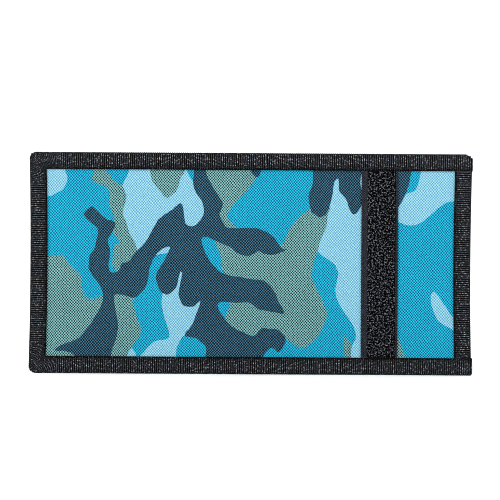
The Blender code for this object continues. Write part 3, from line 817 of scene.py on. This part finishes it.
def left_tape_stations(width):
    """The tape from the top edge's first seam, round both left corners, to the bottom edge's seam."""
    top_left, bottom_left = Vector((LEFT, TOP)), Vector((LEFT, BOTTOM))
    top_run = straight_stations((LEFT_SEAM, TOP), (LEFT + CORNER_RADIUS, TOP), (0, -1), width)
    run = top_run[-1].run
    first_corner = corner_stations(top_left, math.pi / 2, width, run)
    run += CORNER_RADIUS * math.pi / 2
    side = straight_stations((LEFT, TOP - CORNER_RADIUS), (LEFT, BOTTOM + CORNER_RADIUS), (1, 0), width, run)
    run = side[-1].run
    second_corner = corner_stations(bottom_left, math.pi, width, run)
    run += CORNER_RADIUS * math.pi / 2
    bottom_run = straight_stations((LEFT + CORNER_RADIUS, BOTTOM), (LEFT_SEAM, BOTTOM), (0, 1), width, run)
    return (
        ease_corner(top_run, top_left, width) + first_corner
        + draw_in(ease_corner(ease_corner(side, top_left, width), bottom_left, width), 1) + second_corner
        + ease_corner(bottom_run, bottom_left, width)
    )


def make_stitches(name, stations, width, outer, inner):
    """Lock stitches along both flaps of a tape, close to its free edge."""
    bundle = Bundle()
    next_run = stations[0].run + STITCH_PITCH / 2
    last_run = stations[-1].run - STITCH_PITCH / 2
    places = []
    for station in stations:
        if next_run <= station.run <= last_run:
            inward = (station.free - station.edge) / width
            inside_y = inner(station.run) if callable(inner) else inner
            places.append((station.edge + inward * (width - STITCH_INSET), inward.normalized(), inside_y))
            next_run += STITCH_PITCH
    for place, inward, inside_y in places:
        along = Vector((-inward.y, inward.x))
        for y, facing in ((outer, -1), (inside_y, 1)):
            path = []
            for share, lift in ((-1, -0.3), (-0.7, -0.11), (0, -0.05), (0.7, -0.11), (1, -0.3)):
                point = place + along * share * STITCH_PITCH * 0.42
                path.append((point.x, y + facing * lift, point.y))
            bundle.tube(path, 0.16, sides=5, taper=0.6)
    return bundle.piece(name, [THREAD], "binding_tape")


def make_tapes():
    """The binding round the wallet: one tape round the left side, and one along each edge after it."""
    stations = left_tape_stations(TAPE_WIDTH)
    corner_run = LEFT_SEAM - LEFT - CORNER_RADIUS

    def inner(run):
        """The top edge is thinner than the side, which also holds the inner sheet."""
        share = min(1.0, max(0.0, (run - corner_run + TAPE_WIDTH) / TAPE_WIDTH))
        return TOP_TAPE.inner + (LEFT_TAPE.inner - TOP_TAPE.inner) * share * share * (3 - 2 * share)

    tape = folded_tape("edge_tape_left", stations, TAPE_WIDTH, LEFT_TAPE.outer, inner,
                       ["left_panel_edge_binding", "left_panel_top_binding", "left_fold_top_binding",
                        "left_fold_bottom_binding"])
    stitches = make_stitches("edge_tape_left_stitches", stations, TAPE_WIDTH, LEFT_TAPE.outer, inner)
    bend(tape)
    bend(stitches)
    for span in SPANS[1:]:
        for name, z, inward, depth in (("top", TOP, -1, TOP_TAPE), ("bottom", BOTTOM, 1, BOTTOM_TAPE)):
            tail = BOTTOM_TAIL if (span.name == "right" and name == "bottom") else 0.0
            stations = straight_stations((span.start, z), (span.stop + tail, z), (0, inward), TAPE_WIDTH)
            if span.name == "right":
                stations = chamfered(stations) if name == "top" else rounded_tail(stations)
            nodes = [f"{body}_{name}_binding" for body in bodies_of(span)]
            tape = folded_tape(f"{name}_tape_{span.name}", stations, TAPE_WIDTH, depth.outer, depth.inner,
                               nodes)
            stitches = make_stitches(f"{name}_tape_{span.name}_stitches", stations, TAPE_WIDTH, depth.outer,
                                     depth.inner)
            bend(tape)
            bend(stitches)
    make_right_side_tape()
    make_tape_ends()


def make_tape_ends():
    """The turned-in ends of the top and bottom tapes, at the wallet's right side."""
    low = TOP - TAPE_WIDTH + 0.1
    high = TOP - CHAMFER * CHAMFER_SLOPE - 0.9
    ends = {
        "top": (RIGHT, low, high, TOP_TAPE),
        "bottom": (
            RIGHT + BOTTOM_TAIL, BOTTOM + TAIL_CORNER + 0.9, BOTTOM + TAPE_WIDTH - 0.1, BOTTOM_TAPE,
        ),
    }
    for name, (end, bottom, top, depth) in ends.items():
        part = Box(end - TAPE_END + 0.1, end - 0.05, depth.outer + 0.4, depth.inner - 0.4, bottom, top)
        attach(rounded_block(f"{name}_tape_end", part, 0.2, TAPE), "right_panel")


def chamfered(stations):
    """The top tape's right end, cut off at a slant."""
    last = stations[-1].edge.x
    made = []
    for s in stations:
        drop = max(0.0, s.edge.x - (last - CHAMFER)) * CHAMFER_SLOPE
        made.append(Station(s.edge - Vector((0, drop)), s.free, s.run))
    return made


def rounded_tail(stations):
    """The bottom tape's right end, with its lower corner worn round."""
    last = stations[-1].edge.x
    made = []
    for s in stations:
        share = max(0.0, s.edge.x - (last - TAIL_CORNER)) / TAIL_CORNER
        made.append(Station(s.edge + Vector((0, TAIL_CORNER * share**3)), s.free, s.run))
    return made


def make_right_side_tape():
    bottom = BOTTOM + TAPE_WIDTH + 0.1
    top = TOP - TAPE_WIDTH - 0.1
    stations = draw_in(straight_stations((RIGHT, bottom), (RIGHT, top), (-1, 0), TAPE_WIDTH), -1)
    tape = folded_tape("edge_tape_right", stations, TAPE_WIDTH, RIGHT_TAPE.outer, RIGHT_TAPE.inner,
                       ["right_panel_edge_binding"])
    stitches = make_stitches("edge_tape_right_stitches", stations, TAPE_WIDTH, RIGHT_TAPE.outer,
                             RIGHT_TAPE.inner)
    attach(tape, "right_panel")
    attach(stitches, "right_panel")


# ---------------------------------------------------------------- mouth tape of the note compartment


def make_mouth_tape():
    """Narrow tape folded over the inner sheet's top edge, along the whole wallet."""
    width = MOUTH_TAPE.top - MOUTH_TAPE.bottom
    ends = {"left": box("left_panel_mouth_binding").left, "right": box("right_panel_mouth_binding").right}
    for span in SPANS:
        start = ends["left"] if span.name == "left" else span.start
        stop = ends["right"] if span.name == "right" else span.stop
        stations = straight_stations((start, MOUTH_TAPE.top), (stop, MOUTH_TAPE.top), (0, -1), width)
        nodes = [f"{body}_mouth_binding" for body in bodies_of(span)]
        tape = folded_tape(f"mouth_tape_{span.name}", stations, width, MOUTH_TAPE.outer, MOUTH_TAPE.inner,
                           nodes)
        stitches = make_stitches(f"mouth_tape_{span.name}_stitches", stations, width, MOUTH_TAPE.outer,
                                 MOUTH_TAPE.inner)
        bend(tape)
        bend(stitches)


# ---------------------------------------------------------------- hook and loop strips

LOOP_STRIP = box("loop_strip")
HOOK_STRIP = box("hook_strip")
STRIP_BASE = 0.35
WIDE_SELVEDGE = 3.4
NARROW_SELVEDGE = 1.3
TAPE_CLEARANCE = 0.3


def make_loop_strip():
    """The soft half of the fastener: a woven base with plain selvedges and a pile of loops."""
    strip = LOOP_STRIP
    top, bottom = strip.top + TAPE_CLEARANCE, strip.bottom - TAPE_CLEARANCE
    left, right = strip.left + WIDE_SELVEDGE, strip.right - NARROW_SELVEDGE
    base_y = strip.inner - STRIP_BASE
    ground = rectangle(left, right, bottom - 1, top + 1)
    outline = rectangle(strip.left, strip.right, bottom, top)
    base = cloth("loop_strip_base", outline, base_y, strip.inner, [SELVEDGE, PILE_GROUND],
                 prints=[(ground, 1)], step=3.0)
    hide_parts("loop_strip")
    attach(base, "right_panel")
    pile = loop_pile(left, right, bottom, top, base_y, base_y - strip.outer)
    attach(pile.piece("loop_strip_pile", [PILE], "loop_tape", crease=180), "right_panel")
    stitches = Bundle()
    for x in (strip.left + 1.2, strip.right - 0.7):
        for k in range(int((top - bottom - 2) / STITCH_PITCH)):
            z = bottom + 1.2 + k * STITCH_PITCH
            stitches.tube([(x, base_y + 0.1, z), (x, base_y - 0.12, z + 0.5), (x, base_y - 0.12, z + 1.6),
                           (x, base_y + 0.1, z + 2.1)], 0.15, sides=5, taper=0.6)
    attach(stitches.piece("loop_strip_stitches", [THREAD], "loop_tape"), "right_panel")


def loop_pile(left, right, bottom, top, ground_y, room):
    """Bent filaments that lie every way, as a brushed loop pile does."""
    chance = random.Random(11)
    pile = Bundle()
    filament = 0.14
    spacing = 0.7
    for row in range(int((top - bottom - 1.4) / spacing) + 1):
        for column in range(int((right - left) / spacing)):
            x = left + (column + 0.5) * spacing + chance.uniform(-0.35, 0.35)
            z = bottom + 0.9 + row * spacing + chance.uniform(-0.25, 0.25)
            turn = chance.uniform(0, math.pi)
            reach = chance.uniform(0.4, 0.75)
            height = chance.uniform(0.35, 1.0) * (room - filament)
            bend_by = chance.uniform(-0.6, 0.6)
            path = []
            for share in (-1, -0.6, 0, 0.6, 1):
                rise = height * (1 - share * share) + 0.02
                bow = bend_by * (1 - share * share)
                dx = share * reach * math.cos(turn) - bow * math.sin(turn)
                dz = share * reach * math.sin(turn) + bow * math.cos(turn)
                path.append((x + dx, ground_y - rise, min(max(z + dz, bottom + 0.2), top - 0.2)))
            pile.tube(path, filament, sides=4)
    return pile


def make_hook_strip():
    """The stiff half of the fastener: rows of small bent hooks on a woven base."""
    strip = HOOK_STRIP
    top_y = strip.outer + STRIP_BASE
    outline = rectangle(strip.left, strip.right, strip.bottom, strip.top, 1.5)
    base = cloth("hook_strip_base", outline, strip.outer, top_y, [SELVEDGE], step=4.0)
    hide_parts("hook_strip")
    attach(base, "left_panel")
    hooks = Bundle()
    height = strip.inner - top_y
    pitch_x, pitch_z = 1.5, 1.25
    columns = int((strip.right - strip.left - 3.0) / pitch_x)
    rows = int((strip.top - strip.bottom - 2.5) / pitch_z)
    for row in range(rows):
        for column in range(columns + 1):
            x = strip.left + 1.6 + column * pitch_x
            z = strip.bottom + 1.4 + row * pitch_z
            lean = 1 if row % 2 else -1
            path = [(x, top_y - 0.1, z), (x, top_y + 0.5 * height, z + 0.04 * lean),
                    (x, top_y + 0.85 * height, z + 0.18 * lean), (x, top_y + 0.94 * height, z + 0.38 * lean),
                    (x, top_y + 0.78 * height, z + 0.52 * lean)]
            hooks.tube(path, 0.11, sides=4, taper=0.8)
    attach(hooks.piece("hook_strip_hooks", [HOOKS], "hook_tape"), "left_panel")
    stitches = sewn_line(strip.left + 0.8, strip.right - 0.8, strip.bottom + 0.8, strip.top - 0.8, top_y)
    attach(stitches.piece("hook_strip_stitches", [THREAD], "hook_tape"), "left_panel")


def sewn_line(left, right, bottom, top, y, sides=("bottom", "right", "top", "left")):
    """Stitches round a rectangle on a surface that faces the inside of the wallet."""
    bundle = Bundle()
    runs = {
        "bottom": ((left, bottom), (right, bottom)),
        "right": ((right, bottom), (right, top)),
        "top": ((right, top), (left, top)),
        "left": ((left, top), (left, bottom)),
    }
    for side in sides:
        start, stop = (Vector(p) for p in runs[side])
        along = (stop - start).normalized()
        count = int((stop - start).length / STITCH_PITCH)
        for k in range(count):
            middle = start + along * (k + 0.5) * (stop - start).length / count
            path = []
            for share, lift in ((-1, -0.12), (-0.7, 0.05), (0, 0.11), (0.7, 0.05), (1, -0.12)):
                point = middle + along * share * STITCH_PITCH * 0.4
                path.append((point.x, y + lift, point.y))
            bundle.tube(path, 0.15, sides=5, taper=0.6)
    return bundle


# ---------------------------------------------------------------- card slots and the window pocket

HEM = 5.0
FOLD_ROOM = 0.6
FRAME_BOX = box("id_window_frame")
FRAME_BORDER = 8.5
WINDOW_CORNER = 4.0
WINDOW = Box(FRAME_BOX.left + FRAME_BORDER, FRAME_BOX.right - FRAME_BORDER, 0, 0,
             FRAME_BOX.bottom + FRAME_BORDER, FRAME_BOX.top - FRAME_BORDER)


def hem_roll(name, left, right, z, outer, inner, material, body):
    """The rounded fold along a pocket's top edge."""
    rings = []
    radius = (inner - outer) / 2
    middle = (inner + outer) / 2
    count = max(2, round((right - left) / 3))
    for k in range(count + 1):
        x = left + (right - left) * k / count
        sag = 0.35 * math.sin(math.pi * k / count) ** 2
        ring = []
        for step in range(10):
            angle = 2 * math.pi * step / 10
            ring.append((x, middle + radius * math.cos(angle), z - radius - sag + radius * math.sin(angle)))
        rings.append(ring)
    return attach(loft(name, rings, [material], crease=80), body)


def make_card_slots():
    """Three stepped card slots, each with a turned hem and a row of stitches under its mouth."""
    for number in (1, 2, 3):
        name = f"card_slot_{number}"
        slot = box(name)
        slot = slot._replace(left=slot.left + FOLD_ROOM)
        radius = (slot.inner - slot.outer) / 2 + 0.12
        outline = rectangle(slot.left, slot.right, slot.bottom, slot.top - 2 * radius)
        panel = cloth(f"{name}_cloth", outline, slot.outer, slot.inner, [POCKET_CLOTH], step=4.0,
                      crown=lambda x, z, s=slot: slot_bulge(x, z, s))
        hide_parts(name)
        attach(panel, "right_panel")
        middle = (slot.inner + slot.outer) / 2
        hem = hem_roll(f"{name}_hem", slot.left, slot.right, slot.top, middle - radius, middle + radius,
                       HEM_CLOTH, "right_panel")
        line = sewn_line(slot.left + 1, slot.right - 1, slot.bottom, slot.top - HEM, slot.inner,
                         sides=("top",))
        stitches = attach(line.piece(f"{name}_stitches", [POCKET_THREAD], "lining_cloth"), "right_panel")


def slot_bulge(x, z, slot):
    """A card slot's mouth stands a hair open in the middle; negative is towards the inside."""
    across = math.sin(math.pi * (x - slot.left) / (slot.right - slot.left))
    up = max(0.0, (z - slot.bottom) / (slot.top - slot.bottom))
    return -0.12 * max(0.0, across) * up**3


def make_window_pocket():
    """The identity window: clear film behind a stitched cloth frame."""
    film_box = box("id_window_film")
    outline = rectangle(film_box.left, film_box.right, film_box.bottom, film_box.top)
    film = cloth("id_window_film_sheet", outline, film_box.outer, film_box.inner, [FILM], step=3.0,
                 wrinkle=0.06)
    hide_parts("id_window_film")
    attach(film, "centre")
    frame_box, window = FRAME_BOX, WINDOW
    outline = rectangle(frame_box.left, frame_box.right, frame_box.bottom, frame_box.top)
    hole = rectangle(window.left, window.right, window.bottom, window.top, WINDOW_CORNER)
    border = cloth("id_window_frame_cloth", outline, frame_box.outer, frame_box.inner, [POCKET_CLOTH],
                   holes=[hole], step=3.0, wrinkle=0.06)
    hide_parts("id_window_frame")
    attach(border, "centre")
    near = sewn_line(window.left - 1.6, window.right + 1.6, window.bottom - 1.6, window.top + 1.6,
                     frame_box.inner)
    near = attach(near.piece("id_window_stitches", [POCKET_THREAD], "lining_cloth"), "centre")
    far = sewn_line(frame_box.left + 1.4, frame_box.right - 1.4, frame_box.bottom + 1.4, frame_box.top - 1.4,
                    frame_box.inner)
    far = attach(far.piece("id_pocket_stitches", [POCKET_THREAD], "lining_cloth"), "centre")


# ---------------------------------------------------------------- coin pocket and its zip

ZIP_LOWER = box("zip_coil_lower")
ZIP_UPPER = box("zip_coil_upper")
COIL_PITCH = 1.3


def make_coin_pocket():
    """The coin pocket's printed front and the cover above its zip, with their stitches."""
    for name in ("coin_pocket_front", "coin_pocket_cover"):
        part = box(name)
        outline = rectangle(part.left, part.right, part.bottom, part.top)
        panel = cloth(f"{name}_cloth", outline, part.outer, part.inner, CAMO,
                      prints=prints_within(part.left, part.right), step=3.0, wrinkle=0.08)
        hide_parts(name)
        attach(panel, "left_panel")
        beside_zip = "top" if name == "coin_pocket_front" else "bottom"
        line = sewn_line(part.left + 1.2, part.right - 1.2, part.bottom + 1.2, part.top - 1.2, part.inner,
                         sides=(beside_zip,))
        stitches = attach(line.piece(f"{name}_stitches", [THREAD], "camo_cloth"), "left_panel")


def make_zip():
    """Woven zip tapes, two interlocked coils, and the stops at their ends."""
    for name in ("zip_tape_lower", "zip_tape_upper"):
        part = box(name)
        outline = rectangle(part.left, part.right, part.bottom, part.top)
        tape = cloth(f"{name}_cloth", outline, part.outer, part.inner, [SELVEDGE], step=4.0)
        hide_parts(name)
        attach(tape, "left_panel")
    for name, coil, first_turn in (("zip_coil_lower", ZIP_LOWER, 0.0), ("zip_coil_upper", ZIP_UPPER, 0.5)):
        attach(coil_piece(name, coil, first_turn), "left_panel")
    for name in ("zip_stop_open_end", "zip_stop_closed_end"):
        part = box(name)
        stop = rounded_block(f"{name}_crimp", part, 0.5, METAL)
        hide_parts(name)
        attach(stop, "left_panel")


def coil_piece(name, coil, first_turn):
    """One coil of the zip: a nylon filament wound in flattened turns."""
    bundle = Bundle()
    filament = 0.17
    middle_y = (coil.outer + coil.inner) / 2
    middle_z = (coil.bottom + coil.top) / 2
    half_y = (coil.inner - coil.outer) / 2 - filament
    half_z = (coil.top - coil.bottom) / 2 - filament
    turns = int((coil.right - coil.left - 2 * filament - COIL_PITCH) / COIL_PITCH)
    path = []
    for step in range(turns * 8 + 1):
        angle = 2 * math.pi * step / 8
        x = coil.left + filament + (first_turn + step / 8) * COIL_PITCH
        path.append((x, middle_y + half_y * math.sin(angle), middle_z + half_z * math.cos(angle)))
    bundle.tube(path, filament, sides=5)
    piece = bundle.piece(f"{name}_turns", [NYLON], "zip_coil")
    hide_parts(name)
    return piece


def rounded_block(name, part, softness, material):
    """A small moulded block that fills a box, with every edge rounded."""
    width, height = part.right - part.left, part.top - part.bottom
    radius = min(softness, width / 2.2, height / 2.2)
    depth = part.inner - part.outer
    rings = []
    for share, inset in ((0, 0.7), (0.12, 0.25), (0.3, 0), (0.7, 0), (0.88, 0.25), (1, 0.7)):
        shrink = inset * min(radius, depth / 2)
        corner = max(radius - shrink, 0.05)
        outline = rectangle(part.left + shrink, part.right - shrink, part.bottom + shrink, part.top - shrink,
                            corner, steps=5)
        rings.append([(x, part.outer + depth * share, z) for x, z in outline])
    return loft(name, rings, [material], crease=35)


# ---------------------------------------------------------------- slider and pull

SLIDER = box("zip_slider")
PULL = box("zip_pull")
PLATE_THICKNESS = 0.4
BRIDGE_RISE = 1.1
EYE_LENGTH = 3.3
EYE_HALF_WIDTH = 1.3


def strap(name, path, width, thickness, z, material):
    """A flat metal strap bent along an (x, y) path, width across z."""
    rings = []
    for i, (x, y) in enumerate(path):
        ahead = Vector(path[min(i + 1, len(path) - 1)]) - Vector(path[max(i - 1, 0)])
        normal = Vector((-ahead.y, ahead.x)).normalized() * thickness / 2
        half = width / 2
        ease = thickness * 0.35
        ring = []
        section = (
            (-1, 0.6), (-1, -0.6), (-0.85, -1), (0.85, -1), (1, -0.6), (1, 0.6), (0.85, 1), (-0.85, 1),
        )
        for side, lift in section:
            ring.append((x + normal.x * lift, y + normal.y * lift, z + side * (half - ease * 0.1)))
        rings.append(ring)
    return loft(name, rings, [material], crease=50)


def make_slider():
    """The slider: two plates with side flanges round the coils, a neck, and a bridge over the pull."""
    middle_x = (SLIDER.left + SLIDER.right) / 2
    middle_z = (SLIDER.bottom + SLIDER.top) / 2
    front_y = SLIDER.inner - BRIDGE_RISE
    flange = 0.5
    parts = {
        "front": Box(SLIDER.left, SLIDER.right, front_y - PLATE_THICKNESS, front_y,
                     SLIDER.bottom, SLIDER.top),
        "back": Box(SLIDER.left, SLIDER.right, SLIDER.outer, SLIDER.outer + PLATE_THICKNESS,
                    SLIDER.bottom + flange, SLIDER.top - flange),
        "neck": Box(middle_x + 1.5, middle_x + 3.5, SLIDER.outer + PLATE_THICKNESS, front_y - PLATE_THICKNESS,
                    middle_z - 0.35, middle_z + 0.35),
        "lower_flange": Box(SLIDER.left, SLIDER.right, ZIP_LOWER.outer, front_y - PLATE_THICKNESS,
                            SLIDER.bottom, SLIDER.bottom + flange),
        "upper_flange": Box(SLIDER.left, SLIDER.right, ZIP_LOWER.outer, front_y - PLATE_THICKNESS,
                            SLIDER.top - flange, SLIDER.top),
    }
    made = []
    for name, part in parts.items():
        softness = 1.6 if name in ("front", "back") else 0.2
        made.append(rounded_block(f"zip_slider_{name}", part, softness, METAL))
    reach = (SLIDER.right - SLIDER.left) * 0.3
    top_y = SLIDER.inner - PLATE_THICKNESS / 2
    path = [(middle_x - reach, front_y - 0.1)]
    for k in range(9):
        angle = math.pi * k / 8
        side = math.copysign(abs(math.cos(angle)) ** 0.5, -math.cos(angle))
        rise = math.sin(angle) ** 0.5
        path.append((middle_x + reach * side, front_y + (top_y - front_y) * rise))
    path.append((middle_x + reach, front_y - 0.1))
    made.append(strap("zip_slider_bridge", path, 1.6, PLATE_THICKNESS, middle_z, METAL))
    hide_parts("zip_slider")
    for piece in made:
        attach(piece, "zip_slider")


def make_pull():
    """The pull tab: an eye that turns round the bridge, a waisted tab with a hole, and grip ribs."""
    half = (PULL.top - PULL.bottom) / 2
    middle_z = (PULL.top + PULL.bottom) / 2
    bar = 0.4
    eye = rectangle(PULL.right - EYE_LENGTH, PULL.right - bar, middle_z - EYE_HALF_WIDTH,
                    middle_z + EYE_HALF_WIDTH, 0.5)
    hang_x = PULL.left + 2.2
    hang_hole = [(hang_x + 0.9 * math.cos(a), middle_z + 0.9 * math.sin(a)) for a in turn_angles(20)]
    waist_x = PULL.right - EYE_LENGTH - 2.2
    upper = [(PULL.right, middle_z + half * 0.92), (PULL.right - EYE_LENGTH, middle_z + half),
             (waist_x, middle_z + half * 0.72), (waist_x - 2.6, middle_z + half * 0.9)]
    end = [(PULL.left + half * (1 - math.sin(a)), middle_z + half * 0.98 * math.cos(a))
           for a in [math.pi * k / 12 for k in range(13)]]
    lower = [(x, 2 * middle_z - z) for x, z in reversed(upper)]
    tab = cloth("zip_pull_tab", upper + end + lower, PULL.outer, PULL.inner, [METAL], holes=[eye, hang_hole],
                step=0.9)
    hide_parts("zip_pull")
    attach(tab, "zip_pull")
    for k in range(4):
        x = waist_x - 1.4 - 0.8 * k
        rib = Box(x - 0.2, x + 0.2, PULL.inner - 0.1, PULL.inner + 0.15, middle_z - 1.1, middle_z + 1.1)
        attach(rounded_block(f"zip_pull_rib_{k + 1}", rib, 0.15, METAL), "zip_pull")


def turn_angles(count):
    return [2 * math.pi * k / count for k in range(count)]


# ---------------------------------------------------------------- camera, light and stage

VIEW_DISTANCE = 1200.0
VIEW_WIDTH = 273.0
SENSOR = 36.0
CAMERA_X = -0.27
CAMERA_Z = 67.9
CAMERA_ROLL = 0.35


def make_camera():
    data = bpy.data.cameras.new("camera")
    data.sensor_width = SENSOR
    data.lens = SENSOR * VIEW_DISTANCE / VIEW_WIDTH
    camera = bpy.data.objects.new("camera", data)
    camera.location = (CAMERA_X * MM, (SHELL.outer - VIEW_DISTANCE) * MM, CAMERA_Z * MM)
    camera.rotation_euler = (math.radians(90), -math.radians(CAMERA_ROLL), 0)
    bpy.context.scene.collection.objects.link(camera)
    bpy.context.scene.camera = camera


def make_stage():
    """A round pale floor whose rim curves up into a wall, far outside every view of the wallet."""
    flat_radius, wall_radius, wall_height, turns, steps = 2.6, 3.4, 3.0, 96, 12
    profile = [(0.5, 0.0), (flat_radius, 0.0)]
    curve = wall_radius - flat_radius
    for k in range(1, steps + 1):
        angle = math.pi / 2 * k / steps
        profile.append((flat_radius + curve * math.sin(angle), curve * (1 - math.cos(angle))))
    profile.append((wall_radius, wall_height))
    points, faces = [], []
    for radius, z in profile:
        for k in range(turns):
            angle = 2 * math.pi * k / turns
            points.append((radius * math.cos(angle), radius * math.sin(angle), z))
    for r in range(len(profile) - 1):
        for k in range(turns):
            a = r * turns + k
            b = r * turns + (k + 1) % turns
            faces.append((a, b, b + turns, a + turns))
    faces = [tuple(reversed(f)) for f in faces] + [tuple(range(turns))]
    mesh = bpy.data.meshes.new("stage")
    mesh.from_pydata(points, [], faces)
    mesh.polygons.foreach_set("use_smooth", [True] * len(mesh.polygons))
    material, tree, shader = new_material("stage_paper", 0.9)
    grain = node(tree, "ShaderNodeTexNoise", {"Scale": 40.0, "Detail": 2.0}).outputs["Fac"]
    colour = mix_colours(tree, grain, (0.93, 0.93, 0.93, 1), (0.96, 0.96, 0.96, 1))
    tree.links.new(colour, shader.inputs["Base Color"])
    mesh.materials.append(material)
    stage = bpy.data.objects.new("stage", mesh)
    bpy.context.scene.collection.objects.link(stage)


def area_light(name, place, size, watts):
    data = bpy.data.lights.new(name, "AREA")
    data.shape = "DISK"
    data.size = size
    data.energy = watts
    light = bpy.data.objects.new(name, data)
    light.location = place
    light.rotation_euler = (Vector((0, 0, 0.06)) - Vector(place)).to_track_quat("-Z", "Y").to_euler()
    bpy.context.scene.collection.objects.link(light)


def make_lights():
    area_light("key_upper_left", (-1.5, -1.5, 1.7), 1.2, 44)
    area_light("fill_right", (1.7, -1.6, 1.1), 1.6, 16)
    area_light("back", (0.3, 2.0, 1.8), 1.6, 36)
    world = bpy.data.worlds.new("studio")
    world.use_nodes = True
    world.node_tree.nodes["Background"].inputs["Color"].default_value = (1.0, 1.0, 1.0, 1.0)
    world.node_tree.nodes["Background"].inputs["Strength"].default_value = 0.8
    bpy.context.scene.world = world
    bpy.context.scene.view_settings.view_transform = "Standard"
    bpy.context.scene.cycles.filter_width = 0.9


# ---------------------------------------------------------------- build


make_camera()
make_outer_cloth()
make_inner_layer("lining", LINING, SHELL.top, CLOTH_CORNER)
make_inner_layer("inner_sheet", INNER_SHEET, INNER_SHEET.top, 0.0)
make_stiffeners()
make_tapes()
make_mouth_tape()
make_loop_strip()
make_hook_strip()
make_card_slots()
make_window_pocket()
make_coin_pocket()
make_zip()
make_slider()
make_pull()
make_lights()
make_stage()
